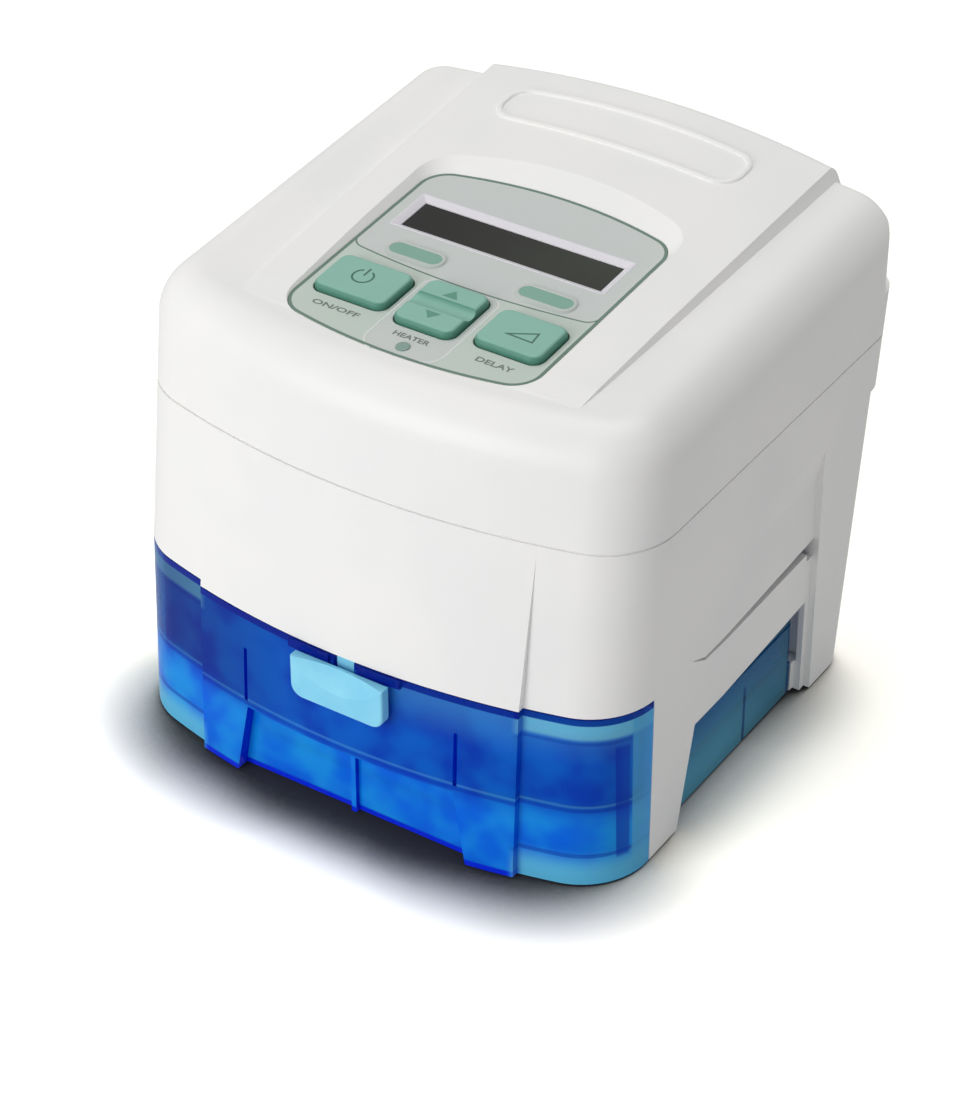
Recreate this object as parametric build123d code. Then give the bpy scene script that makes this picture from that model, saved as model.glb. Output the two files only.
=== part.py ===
from build123d import *
import os
from math import atan2, cos, degrees, pi, sin, sqrt

os.makedirs("parts", exist_ok=True)

# ---------------------------------------------------------------- driving sizes (mm)
# X runs across the machine, -Y is the front, +Z is up, z = 0 is the table.
width = 165.0               # across the straight sides
depth = 175.5               # latch face to the rear bumper
seam_height = 107.5         # top cover meets the housing
rim_height = 57.0           # top edge of the water tank
base_clearance = 0.8        # plastic base stands this far off the table, on its feet
wall = 2.5                  # moulded shell
leg_wall = 3.6              # side walls of the tank bay
tank_wall = 2.2             # moulded clear tank
seat_gap = 0.3              # between pieces that only rest near each other
slide_gap = 0.4             # around the sliding tank
fit_gap = 0.05              # radial, pins and pipes in their holes
cut_reach = 1.0             # cutting tools run this far past the face they open

half_width = width / 2
front_y = -depth / 2
rear_y = depth / 2

# outline in plan: bowed front and rear, large front corners
front_bow_radius = 250.0
rear_bow_radius = 395.0
front_corner = 22.0
rear_corner = 10.0
rear_lean = 0.13            # the rear face leans back by this much per mm of height
shell_rake = 0.125          # the white front leans back by this much per mm of height
tank_rake = 0.044           # the tank front is steeper
front_middle = 1.9          # the front's pad, grip and latch sit this far right of the middle
pad_half_width = 52.8       # proud centre panel that runs over tank and housing
pad_proud = 2.2
pad_end_drop = 4.0          # the pad dies out this far under the seam
bumper_proud = 2.6          # raised band across the rear
bumper_bottom = 91.0
bumper_top = 122.0
bumper_reach = 22.0

# top surface
top_slope = 0.06            # the top rises to the rear
shoulder_slope = 0.052      # the shoulders beside the band rise a little less
panel_centre_y = front_y + 75.5
panel_centre_z = 142.85
top_edge_radius = 14.0
rear_edge_radius = 2.5
band_front_y = front_y + 30.75
band_half_front = 54.0
band_half_rear = 57.1
band_side_lean = 0.5        # the band's sides spread by this much per mm of height
band_root = 8.0
band_rises = [              # (share of its length, edge, centre) over the panel's plane
    (-0.045, -5.5, -2.2),
    (0.0, -1.6, -0.06),
    (0.041, -0.05, 0.3),
    (0.1, 0.7, 0.85),
    (0.21, 1.2, 1.6),
    (0.35, 1.8, 2.6),
    (1.0, 2.9, 5.3),
]
plaque_half_width = 40.5
plaque_front_y = rear_y - 35.5
plaque_length = 21.0
plaque_line = 1.4
plaque_rise = 0.6
plaque_corner = 7.0
plaque_rear_bow = 260.0
plaque_front_side = 1.0
plaque_front_middle = 3.0

# control panel, in its own tilted plane
overlay_width = 80.0
overlay_length = 87.0
overlay_thickness = 1.2
overlay_corner = 9.0
overlay_front_bow = 160.0
overlay_rear_bow = 125.0
overlay_gap = 0.2
crescent_length = 4.5       # extra slope behind the sunk rear edge of the panel
border_spread = 4.0         # slope round the panel, over the crescent's rise
crescent_rise = 4.5
panel_bay_inset = 1.0
key_pitch = 25.4
key_row_x = 1.0
key_row_y = -20.4
key_height = 17.2
power_key_width = 23.7
ramp_key_width = 21.2
rocker_width = 19.4
rocker_length = 21.1
key_corner = 3.2
key_rise = 2.3
key_rounding = 1.4
key_gap = 0.5
key_travel = 0.8
soft_key_pitch = 42.4
soft_key_x = 0.8
soft_key_y = -1.0
soft_key_width = 17.2
soft_key_height = 7.0
soft_key_rise = 0.5
soft_key_rounding = 0.4
soft_key_travel = 0.6
flange_rim = 1.2
flange_thickness = 1.0
stem_radius = 1.6
valley_radius = 4.0         # soft valley across the rocker
valley_depth = 1.3
pivot_radius = 1.2
pivot_depth = 5.4
pivot_length = 2.4
pivot_neck = 3.0
lcd_x = -0.8
lcd_width = 65.5
lcd_height = 12.8
lcd_y = 17.2
lcd_depth = 1.3
lcd_bevel = 2.0
lcd_bevel_foot = 0.2
lcd_window_thickness = 1.3
lcd_module_width = 70.0
lcd_module_height = 22.0
pane_gap = 0.1
indicator_y = -39.1
indicator_radius = 2.0
indicator_rise = 0.4
indicator_rounding = 0.35
light_pipe_radius = 1.4
board_depth = 8.6           # top of the key board under the panel surface
board_thickness = 1.6
key_board_width = 84.0
key_board_front = -42.0
key_board_rear = 31.0
key_post_inset = 3.2
key_post_radius = 2.6
key_post_root = 0.5
key_screw_head_radius = 2.6
key_screw_head_height = 1.6
key_screw_bite = 3.4
switch_size = 6.0
switch_height = 1.6
ear_thickness = 1.8
ear_length = 6.0
ear_rise = 2.0
ear_gap = 0.2

# side legs and tank bay
bay_half_width = half_width - leg_wall
leg_front_y = front_y + 35.0
leg_rear_top_y = front_y + 58.0
leg_rear_foot_y = front_y + 50.0
window_top = 33.4
window_rear_y = rear_y - 50.75
column_front_y = rear_y - 48.0
column_low_front_y = rear_y - 34.5
rail_split_y = front_y + 54.75      # the leg touches the housing in front of here
rail_groove_y = front_y + 62.25
skirt_drop = 3.0            # housing sides hang this far under its floor
groove_start = 1.2
groove_end = 3.6
notch_length = 3.5          # dark slot at the groove's rear end
notch_depth = 2.5
beam_front_y = rear_y - 52.5
beam_top = 11.0
beam_gap = 0.6
deck_half_width = 64.0
deck_front_y = front_y + 23.75
deck_top = 9.0
deck_corner = 12.0
flank_recess = 1.9          # sides are dished in front of the rear column
flank_start_y = front_y + 74.0
flank_full_top = 76.0
flank_top = 86.0
flank_fade = 0.02
foot_pad_height = 2.4
front_foot_width = 2.4
front_foot_length = 9.0
rear_foot_radius = 4.0
rear_foot_x = half_width - 20.5
seam_line = 0.35            # half height of the fine groove along the seam
seam_line_depth = 0.6
lip_height = 2.5            # the housing's lip inside the cover
lip_depth = 4.0
lip_gap = 0.15
lip_thickness = 1.2

# water tank
tank_half_width = bay_half_width - 0.5
tank_rear_y = rear_y - 51.25
tank_floor = 11.4
parting_height = 26.4
seal_thickness = 1.2
seal_inset = 0.4
lid_top = 52.0
lid_rounding = 3.0
skirt_bottom = 1.5
skirt_rear_y = rear_y - 53.55
tub_front_y = front_y + 9.15
tub_corner_front = 18.0
tub_corner_rear = 4.0
flange_drop = 2.2
fascia_wall = 2.6
grip_top = 25.0
grip_half_top = 34.6
grip_half_bottom = 39.0
grip_depth = 7.0
grip_rib = 1.6
grip_rib_proud = 1.6
slit_x = 35.15
slit_width = 1.2
slit_depth = 1.4
slit_bottom = 27.0
slit_top = 45.0
rim_bar_height = 2.7        # short raised bars on the rim beside the latch's neck
rim_bar_proud = 0.9
rim_bar_start = 4.7
rim_bar_end = 18.5
tank_port_x = 30.0
tank_port_z = 40.0
tank_port_radius = 11.4
tank_port_bore = 9.6
tank_port_length = 1.75
heat_plate_width = 2 * tank_half_width - 44.8
heat_plate_length = tank_rear_y - tub_front_y - 39.1
heat_plate_thickness = 1.0
heat_plate_ledge = 4.0
heat_plate_corner = 10.0
heat_plate_y = (tub_front_y + tank_rear_y) / 2 + 9.05

# latch
latch_half_width = 15.4
latch_bottom = 41.2
latch_top = 54.6
latch_thickness = 3.2
latch_corner = 4.0
latch_rounding = 0.8
latch_neck_half = 2.9
latch_neck_sink = 1.0
latch_travel = 3.0
latch_stem_half = 9.0
latch_stem_height = 6.0
latch_block_half = 8.6
latch_block_depth = 7.0
latch_scoop_radius = 52.1   # spherical thumb scoop
latch_scoop_out = 48.2      # its centre in front of the plate
latch_scoop_up = 12.6       # and over the plate's top
latch_play = 0.5
latch_pocket_play = 3.0
latch_spring_radius = 1.9
latch_spring_wire = 0.9

# heater
heater_width = heat_plate_width - 12.0
heater_length = heat_plate_length - 10.0
heater_thickness = 1.6
heater_spring_inset = 10.0
heater_spring_radius = 4.0
heater_spring_wire = 1.4
heater_spring_seat = 3.0

# air path
port_radius = 11.0          # 22 mm breathing-hose fitting
port_bore = 9.4
hose_pipe_radius = 10.6
spigot_length = 20.0
spigot_chamfer = 0.6
blower_x = 0.0
blower_y = rear_y - 95.75
blower_floor = 64.0
blower_height = 30.0
scroll_wall = 2.0
scroll_start = 33.0
scroll_growth = 11.0
scroll_steps = 12
impeller_radius = 29.0
impeller_height = 14.0
impeller_blades = 9
impeller_disc = 1.4
impeller_lift = 3.0
blade_thickness = 1.2
blade_lean = 38.0
blade_bow = 0.62
blade_inset = 0.5
eye_radius = 15.0
eye_lip = 2.0
eye_lip_rise = 3.0
hub_radius = 9.0
hub_share = 0.7
shaft_radius = 2.0
motor_radius = 17.0
motor_neck_radius = 11.0
motor_neck_rise = 2.0
outlet_x = -30.0
outlet_z = 79.0
outlet_length = 44.0
duct_y = rear_y - 30.75
grommet_radius = 5.0
grommet_inset = 6.0
hose_port_recess = 10.0
hose_port_recess_radius = 17.0
collar_rim = 3.4
collar_thickness = 3.0
filter_x = half_width - 48.5
filter_z = 75.0
filter_width = 46.0
filter_height = 24.0
filter_thickness = 5.0
filter_depth = 9.0
filter_wall = 1.8
filter_play = 0.2
filter_bar_inset = 5.0
filter_slot = 2.6
grille_slot = 2.0
filter_slots = 5

# electrics
inlet_x = 32.5 - half_width
inlet_z = 21.2
inlet_width = 22.0
inlet_height = 14.0
inlet_body_depth = 14.0
inlet_rim = 8.0
inlet_sink = 0.6
inlet_socket_width = 14.6
inlet_socket_height = 8.0
inlet_socket_depth = 10.0
inlet_pin_radius = 1.2
inlet_pin_pitch = 8.6
inlet_pin_sink = 2.0
board_inner_right = 44.0
board_inner_left = 50.0
board_side_gap = 2.0
board_end_gap = 7.75
board_standoff = 4.0
standoff_radius = 2.6
standoff_inset = 4.0
capacitor_radius = 5.0
capacitor_height = 18.0

# fasteners
screw_radius = 1.5
screw_head_radius = 3.0
screw_head_height = 2.4
screw_head_gap = 0.2
boss_radius = 4.6
boss_x = half_width - 12.0
boss_front_y = front_y + 42.75
boss_rear_y = rear_y - 41.25
boss_web = 2.0
screw_seat_height = 96.0
screw_bite = 12.0

# ---------------------------------------------------------------- places worked out from them
latch_middle = (latch_bottom + latch_top) / 2
latch_low = latch_bottom - latch_travel
pad_front_foot = front_y + latch_thickness + seat_gap - tank_rake * latch_low
rear_foot = rear_y - bumper_proud - rear_lean * bumper_top
cover_rear = rear_y - bumper_proud
housing_floor = rim_height + slide_gap
inside_floor = housing_floor + wall
top_tilt = degrees(atan2(top_slope, 1))
shoulder_tilt = degrees(atan2(shoulder_slope, 1))
panel_plane = Plane(
    origin=(0, panel_centre_y, panel_centre_z),
    x_dir=(1, 0, 0),
    z_dir=(0, -sin(top_tilt * pi / 180), cos(top_tilt * pi / 180)),
)
parting_top = parting_height + seal_thickness
pocket_floor = parting_top + latch_pocket_play
row_of_keys = {
    "power_button": (key_row_x - key_pitch, power_key_width),
    "ramp_button": (key_row_x + key_pitch, ramp_key_width),
}
soft_keys = {
    "soft_key_left": soft_key_x - soft_key_pitch / 2,
    "soft_key_right": soft_key_x + soft_key_pitch / 2,
}
main_board_width = half_width - wall - board_side_gap - board_inner_right
supply_board_width = half_width - wall - board_side_gap - board_inner_left
main_board_x = board_inner_right + main_board_width / 2
supply_board_x = -board_inner_left - supply_board_width / 2
board_y = (boss_front_y + boss_rear_y) / 2
board_length = boss_rear_y - boss_front_y - 2 * board_end_gap
post_places = [
    (side * boss_x, y)
    for side in (-1, 1)
    for y in (boss_front_y, boss_rear_y)
]


def tank_front(z):
    """Front of the tank's corner sections on the centre line, at height z."""
    return pad_front_foot + pad_proud + tank_rake * z


def shell_front(z):
    """Front of the white shell's corner sections on the centre line, at height z."""
    return tank_front(rim_height) + shell_rake * (z - rim_height)


def shell_rear(z):
    """Rear of the housing on the centre line, at height z."""
    return rear_foot + rear_lean * z


def flat_rear(z):
    """Upright rear of the top cover."""
    return cover_rear


def bumper_rear(z):
    """Rear of the raised band at height z."""
    return shell_rear(z) + bumper_proud


def top_z(y):
    """Height of the panel's sloping plane at depth y."""
    return panel_centre_z + top_slope * (y - panel_centre_y)


def sagitta(radius, half_chord):
    """Height of a circular arc over its chord."""
    return radius - sqrt(radius**2 - half_chord**2)


def block(x0, x1, y0, y1, z0, z1):
    """Box between two corners."""
    return Pos((x0 + x1) / 2, (y0 + y1) / 2, (z0 + z1) / 2) * Box(x1 - x0, y1 - y0, z1 - z0)


def middle_block(half, y0, y1, z0, z1):
    """Box centred on the middle of the machine's front."""
    return block(front_middle - half, front_middle + half, y0, y1, z0, z1)


def rod(radius, x, y, z0, z1):
    """Upright cylinder from z0 to z1."""
    return Pos(x, y, (z0 + z1) / 2) * Cylinder(radius, z1 - z0)


def rod_y(radius, x, z, y0, y1):
    """Cylinder along Y from y0 to y1."""
    return Pos(x, (y0 + y1) / 2, z) * Rot(90, 0, 0) * Cylinder(radius, y1 - y0)


def plan(front, rear, half, corner, rear_round, rear_bow=rear_bow_radius):
    """Outline in plan: bowed front with large corners, straight sides, bowed rear."""
    front_side = front + sagitta(front_bow_radius, half)
    rear_side = rear - sagitta(rear_bow, half)
    edges = [
        ThreePointArc((-half, front_side), (0, front), (half, front_side)),
        Line((half, front_side), (half, rear_side)),
        ThreePointArc((half, rear_side), (0, rear), (-half, rear_side)),
        Line((-half, rear_side), (-half, front_side)),
    ]
    face = make_face(edges)
    face = fillet(face.vertices().group_by(Axis.Y)[0], corner)
    if rear_round > 0:
        face = fillet(face.vertices().group_by(Axis.Y)[-1], rear_round)
    return face


def leaning(z0, z1, front, rear, inset=0.0, rear_round=rear_corner):
    """Body between two heights whose front and rear follow the given functions of z."""
    sections = []
    for z in (z0, z1):
        outline = plan(front(z) + inset, rear(z) - inset, half_width - inset,
                       front_corner - inset, max(rear_round - inset, 0))
        sections.append(Pos(0, 0, z) * outline)
    return loft(sections, ruled=True)


def cover_trim(inset):
    """Upright prism that gives the cover its bowed rear and rounded rear corners."""
    half = half_width - inset
    outline = plan(band_front_y - depth, cover_rear - inset, half, front_corner, rear_corner - inset)
    return extrude(Pos(0, 0, seam_height) * outline, seam_height)


def bumper_band(z0, z1):
    """Raised band across the rear, part of the housing below the seam and of the cover above."""
    band = leaning(z0, z1, shell_front, bumper_rear)
    return band & block(-width, width, cover_rear - bumper_reach, depth, z0, z1)


def seam_ring(z0, z1):
    """Fine groove round the outside at the seam."""
    outer = leaning(z0, z1, shell_front, bumper_rear, -cut_reach)
    return outer - leaning(z0, z1, shell_front, bumper_rear, seam_line_depth)


def side_cut(points):
    """Prism across the machine of an outline given as (y, z) points."""
    outline = make_face(Polyline([(0, y, z) for y, z in points], close=True))
    return extrude(outline, width, both=True)


def flank_section(side, face, z, dish):
    """Section of the dish at one height; face is the distance of the undished side from the middle."""
    outline = Polyline(
        [
            (side * (face + cut_reach), flank_start_y, z),
            (side * face, flank_start_y, z),
            (side * (face - dish), column_front_y, z),
            (side * (face + cut_reach), column_front_y, z),
        ],
        close=True,
    )
    return make_face(outline)


def flank_wedges(inset=0.0):
    """Shallow dish in both sides, deepest in front of the rear column, dying out near the seam."""
    wedges = []
    face = half_width - inset
    for side in (-1, 1):
        low = flank_section(side, face, 0, flank_recess)
        full = flank_section(side, face, flank_full_top, flank_recess)
        end = flank_section(side, face, flank_top, flank_fade)
        wedges.append(loft([low, full], ruled=True))
        wedges.append(loft([full, end], ruled=True))
    return wedges


# ---------------------------------------------------------------- top cover
def cover_block(inset):
    """Leaning block with a sloping top and large rounded front and side edges."""
    body = leaning(seam_height, seam_height + width / 2, shell_front, flat_rear, inset, 0)
    top = Plane(
        origin=(0, band_front_y, top_z(band_front_y) - inset),
        z_dir=(0, -sin(shoulder_tilt * pi / 180), cos(shoulder_tilt * pi / 180)),
    )
    body = split(body, bisect_by=top, keep=Keep.BOTTOM)
    rim = body.faces().sort_by(Axis.Z)[-1].edges().sort_by(Axis.Y)
    return fillet(rim[:-1], top_edge_radius - inset)


def band_section(share, edge, centre, rise):
    """Section of the raised band at one share of its length."""
    y = band_front_y + share * (rear_y - band_front_y)
    half = band_half_front + share * (band_half_rear - band_half_front)
    foot_z = top_z(y) - band_root
    side_z = top_z(y) + edge + rise
    spread = half + band_side_lean * (side_z - foot_z)
    left = front_middle - half
    right = front_middle + half
    return make_face(
        [
            Line((front_middle - spread, y, foot_z), (front_middle + spread, y, foot_z)),
            Line((front_middle + spread, y, foot_z), (right, y, side_z)),
            ThreePointArc((right, y, side_z), (front_middle, y, top_z(y) + centre + rise), (left, y, side_z)),
            Line((left, y, side_z), (front_middle - spread, y, foot_z)),
        ]
    )


def band_block(rise=0.0):
    """Raised band over the middle of the top: fades in at the front, crowned at the rear."""
    sections = [band_section(share, edge, centre, rise) for share, edge, centre in band_rises]
    band = None
    for first, second in zip(sections[:-1], sections[1:]):
        bay = loft([first, second], ruled=True)
        band = bay if band is None else band + bay
    return band


def plaque_outline(grow):
    """Outline of the plaque, grown by the given amount."""
    half = plaque_half_width + grow
    front = plaque_front_y - grow
    rear = plaque_front_y + plaque_length + grow
    front_side = front + plaque_front_side
    rear_side = rear - sagitta(plaque_rear_bow, half)
    face = make_face(
        [
            ThreePointArc((-half, front_side), (0, front + plaque_front_middle), (half, front_side)),
            Line((half, front_side), (half, rear_side)),
            ThreePointArc((half, rear_side), (0, rear), (-half, rear_side)),
            Line((-half, rear_side), (-half, front_side)),
        ]
    )
    return fillet(face.vertices(), plaque_corner + grow)


def plaque_frame():
    """Raised outline of an empty plaque near the rear of the band."""
    ring = plaque_outline(0) - plaque_outline(-plaque_line)
    return extrude(Pos(0, 0, seam_height) * ring, width)


def overlay_outline(grow, rear_extra=0.0):
    """Panel outline in its own plane: gently bowed front, arched rear, round corners."""
    half = overlay_width / 2 + grow
    front = -overlay_length / 2 - grow
    rear = overlay_length / 2 + grow + rear_extra
    front_side = front + sagitta(overlay_front_bow, half)
    rear_side = rear - sagitta(overlay_rear_bow, half)
    face = make_face(
        [
            ThreePointArc((-half, front_side), (0, front), (half, front_side)),
            Line((half, front_side), (half, rear_side)),
            ThreePointArc((half, rear_side), (0, rear), (-half, rear_side)),
            Line((-half, rear_side), (-half, front_side)),
        ]
    )
    return fillet(face.vertices(), overlay_corner + grow)


def local(shape):
    """Move a shape from the control panel's own frame to the machine's frame."""
    return panel_plane.location * shape


def panel_holes(top, bottom):
    """Openings for the keys, the display and the lamp, between two levels of the panel."""
    height = top - bottom
    tools = []
    for x, key_width in row_of_keys.values():
        hole = RectangleRounded(key_width + 2 * key_gap, key_height + 2 * key_gap, key_corner + key_gap)
        tools.append(Pos(x, key_row_y, bottom) * extrude(hole, height))
    rocker_hole = RectangleRounded(
        rocker_width + 2 * key_gap, rocker_length + 2 * key_gap, key_corner + key_gap)
    tools.append(Pos(key_row_x, key_row_y, bottom) * extrude(rocker_hole, height))
    for x in soft_keys.values():
        hole = SlotOverall(soft_key_width + 2 * key_gap, soft_key_height + 2 * key_gap)
        tools.append(Pos(x, soft_key_y, bottom) * extrude(hole, height))
    tools.append(Pos(lcd_x, lcd_y, bottom) * extrude(Rectangle(lcd_width, lcd_height), height))
    tools.append(Pos(key_row_x, indicator_y, bottom) * extrude(Circle(indicator_radius + fit_gap), height))
    return tools


def key_board_posts():
    """Places of the four posts that carry the key board."""
    half = key_board_width / 2 - key_post_inset
    front = key_row_y - key_height
    rear = key_board_rear - key_post_inset
    return [(-half, front), (half, front), (-half, rear), (half, rear)]


def panel_sink():
    """Sloped border and crescent that sink the panel into the band, with the seat under it."""
    low = overlay_outline(overlay_gap)
    high = Pos(0, 0, crescent_rise) * overlay_outline(overlay_gap + border_spread, crescent_length)
    seat = extrude(Pos(0, 0, -overlay_thickness) * low, overlay_thickness)
    return local(loft([low, high], ruled=True)) + local(seat)


def top_cover():
    """Moulded top shell with its raised band, plaque outline and sunk panel."""
    outside = cover_block(0)
    rear_rim = outside.faces().filter_by(lambda f: f.center().Y > cover_rear - 6).sort_by(Axis.Y)[-1]
    outside = fillet(rear_rim.edges().filter_by(lambda e: e.center().Z > seam_height + 1), rear_edge_radius)
    trim = cover_trim(0)
    band = band_block() & trim
    rear_edge = band.edges().filter_by(lambda e: e.center().Y > cover_rear - 4).sort_by(Axis.Z)[-1]
    band = fillet(rear_edge, rear_edge_radius)
    cover = (outside & trim) + band + bumper_band(seam_height, bumper_top)
    cover += plaque_frame() & band_block(plaque_rise) & trim
    cover -= cover_block(wall) & cover_trim(wall)
    cover -= seam_ring(seam_height, seam_height + seam_line)
    cover -= panel_sink()
    bay = extrude(Pos(0, 0, -board_depth) * overlay_outline(-panel_bay_inset), board_depth - wall)
    cover -= local(bay)
    for hole in panel_holes(cut_reach, -2 * wall):
        cover -= local(hole)
    post_height = board_depth - wall + key_post_root
    post = Cylinder(key_post_radius, post_height, align=(Align.CENTER, Align.CENTER, Align.MIN))
    post -= Cylinder(screw_radius, 2 * (key_screw_bite + cut_reach))
    for x, y in key_board_posts():
        cover += local(Pos(x, y, -board_depth) * post)
    inside = cover_block(wall / 2)
    for x, y in post_places:
        boss = rod(boss_radius, x, y, seam_height, top_z(y)) & inside
        cover += boss - rod(screw_radius + fit_gap, x, y, seam_height - cut_reach, seam_height + screw_bite)
    return cover


# ---------------------------------------------------------------- control panel
def keypad_overlay():
    """Printed panel sheet with openings and a bevelled frame round the display."""
    sheet = extrude(Pos(0, 0, -overlay_thickness) * overlay_outline(0), overlay_thickness)
    for hole in panel_holes(cut_reach, -2 * wall):
        sheet -= hole
    foot = Pos(lcd_x, lcd_y, lcd_bevel_foot - overlay_thickness) * Rectangle(lcd_width, lcd_height)
    rim = Pos(lcd_x, lcd_y, fit_gap) * Rectangle(lcd_width + 2 * lcd_bevel, lcd_height + 2 * lcd_bevel)
    return local(sheet - loft([foot, rim]))


def key_shape(cap, flange, rise, travel, round_edge):
    """Key: a rounded cap through the panel, a retaining flange and a switch stem."""
    under = -wall - seat_gap
    body = extrude(Pos(0, 0, under) * cap, rise - under)
    top = body.faces().sort_by(Axis.Z)[-1]
    body = fillet(top.edges(), round_edge)
    body += extrude(Pos(0, 0, under - flange_thickness) * flange, flange_thickness)
    stem_end = -board_depth + switch_height + seat_gap + travel
    stem = Cylinder(stem_radius, under - stem_end, align=(Align.CENTER, Align.CENTER, Align.MAX))
    return body + Pos(0, 0, under) * stem


def row_key(name):
    """One of the two large keys that are pressed straight down."""
    x, key_width = row_of_keys[name]
    cap = RectangleRounded(key_width, key_height, key_corner)
    flange = RectangleRounded(key_width + 2 * flange_rim, key_height + 2 * flange_rim, key_corner)
    return local(Pos(x, key_row_y, 0) * key_shape(cap, flange, key_rise, key_travel, key_rounding))


def soft_key(name):
    """One of the two small keys under the display."""
    cap = SlotOverall(soft_key_width, soft_key_height)
    flange = SlotOverall(soft_key_width + 2 * flange_rim, soft_key_height + 2 * flange_rim)
    key = key_shape(cap, flange, soft_key_rise, soft_key_travel, soft_key_rounding)
    return local(Pos(soft_keys[name], soft_key_y, 0) * key)


def heater_rocker():
    """Up and down key that rocks on two short trunnions."""
    cap = RectangleRounded(rocker_width, rocker_length, key_corner)
    body = extrude(Pos(0, 0, -wall - seat_gap) * cap, key_rise + wall + seat_gap)
    body = fillet(body.faces().sort_by(Axis.Z)[-1].edges(), key_rounding)
    axle = Rot(0, 90, 0)
    valley = axle * Cylinder(valley_radius, 2 * rocker_width)
    valley = Pos(0, 0, key_rise + valley_radius - valley_depth) * valley
    neck = Box(rocker_width - 2 * cut_reach, pivot_neck, pivot_depth - wall + cut_reach)
    neck = Pos(0, 0, -(pivot_depth + wall) / 2) * neck
    trunnion = Pos(0, 0, -pivot_depth) * axle * Cylinder(pivot_radius, rocker_width + 2 * pivot_length)
    body = body - valley + neck + trunnion
    return local(Pos(key_row_x, key_row_y, 0) * body)


def indicator_lens():
    """Small domed lamp lens."""
    hang = (Align.CENTER, Align.CENTER, Align.MAX)
    lens = Pos(0, 0, indicator_rise) * Cylinder(indicator_radius, wall + indicator_rise, align=hang)
    lens = fillet(lens.edges().sort_by(Axis.Z)[-1], indicator_rounding)
    light_pipe = Cylinder(light_pipe_radius, board_depth - wall - seat_gap, align=hang)
    return local(Pos(key_row_x, indicator_y, 0) * (lens + Pos(0, 0, -wall) * light_pipe))


def lcd_window():
    """Clear window over the display."""
    pane = Box(lcd_width - 2 * pane_gap, lcd_height - 2 * pane_gap, lcd_window_thickness)
    return local(Pos(lcd_x, lcd_y, -lcd_depth - lcd_window_thickness / 2) * pane)


def lcd_module():
    """Character display with its metal bezel, on the key board."""
    top = -lcd_depth - lcd_window_thickness
    hang = (Align.CENTER, Align.CENTER, Align.MAX)
    bezel = Box(lcd_module_width, lcd_module_height, board_depth + top, align=hang)
    return local(Pos(lcd_x, lcd_y, top) * bezel)


def keypad_board():
    """Key board with its switches and the two bearings of the rocker."""
    stand = (Align.CENTER, Align.CENTER, Align.MIN)
    board = Pos(0, (key_board_front + key_board_rear) / 2, -board_depth - board_thickness / 2)
    board = board * Box(key_board_width, key_board_rear - key_board_front, board_thickness)
    key_places = [(x, key_row_y) for x, _ in row_of_keys.values()]
    key_places += [(x, soft_key_y) for x in soft_keys.values()]
    for x, y in key_places:
        board += Pos(x, y, -board_depth + switch_height / 2) * Box(switch_size, switch_size, switch_height)
    for side in (-1, 1):
        x = key_row_x + side * (rocker_width / 2 + pivot_length / 2 + ear_gap)
        ear = Box(ear_thickness, ear_length, board_depth - pivot_depth + ear_rise, align=stand)
        bore = Cylinder(pivot_radius + fit_gap, 2 * pivot_length)
        ear -= Pos(0, 0, board_depth - pivot_depth) * Rot(0, 90, 0) * bore
        board += Pos(x, key_row_y, -board_depth) * ear
    for x, y in key_board_posts():
        board -= Pos(x, y, -board_depth) * Cylinder(screw_radius + fit_gap, 4 * board_thickness)
    return local(board)


def keypad_screws():
    """Four screws that hold the key board to the cover's posts."""
    hang = (Align.CENTER, Align.CENTER, Align.MAX)
    stand = (Align.CENTER, Align.CENTER, Align.MIN)
    screws = []
    for x, y in key_board_posts():
        head = Cylinder(key_screw_head_radius, key_screw_head_height, align=hang)
        shank = Cylinder(screw_radius, board_thickness + key_screw_bite, align=stand)
        screws.append(local(Pos(x, y, -board_depth - board_thickness) * (head + shank)))
    return screws


# ---------------------------------------------------------------- main housing
def housing_side():
    """Side outline of the housing: floor over the tank, column down to the table."""
    low = housing_floor - skirt_drop
    outline = side_cut(
        [
            (-depth, housing_floor),
            (rail_split_y, housing_floor),
            (rail_groove_y, low),
            (column_front_y, low),
            (column_front_y, base_clearance),
            (depth, base_clearance),
            (depth, seam_height + 10),
            (-depth, seam_height + 10),
        ]
    )
    return outline - block(-bay_half_width, bay_half_width, 0, column_low_front_y, 0, beam_top + beam_gap)


def cavity_side():
    """Side outline of the space inside the housing."""
    return side_cut(
        [
            (-depth, inside_floor),
            (column_front_y + wall, inside_floor),
            (column_front_y + wall, beam_top + beam_gap + wall),
            (column_low_front_y + wall, beam_top + beam_gap + wall),
            (column_low_front_y + wall, base_clearance + wall),
            (depth, base_clearance + wall),
            (depth, seam_height + 10),
            (-depth, seam_height + 10),
        ]
    )


def housing_pad_front(z):
    """Front of the housing's centre pad, which dies out just under the seam."""
    end = seam_height - pad_end_drop
    return shell_front(z) - pad_proud * (end - z) / (end - rim_height)


def recess_floor_y():
    """Floor of the round recess behind the hose port."""
    return shell_rear(tank_port_z) - hose_port_recess


def cover_posts():
    """Posts for the cover's screws, each with a web to the side wall."""
    posts = None
    for x, y in post_places:
        outer_x = half_width if x > 0 else -half_width
        post = rod(boss_radius, x, y, housing_floor, seam_height)
        post += block(min(x, outer_x), max(x, outer_x), y - boss_web / 2, y + boss_web / 2,
                      housing_floor, seam_height - boss_radius)
        posts = post if posts is None else posts + post
    return posts


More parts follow.
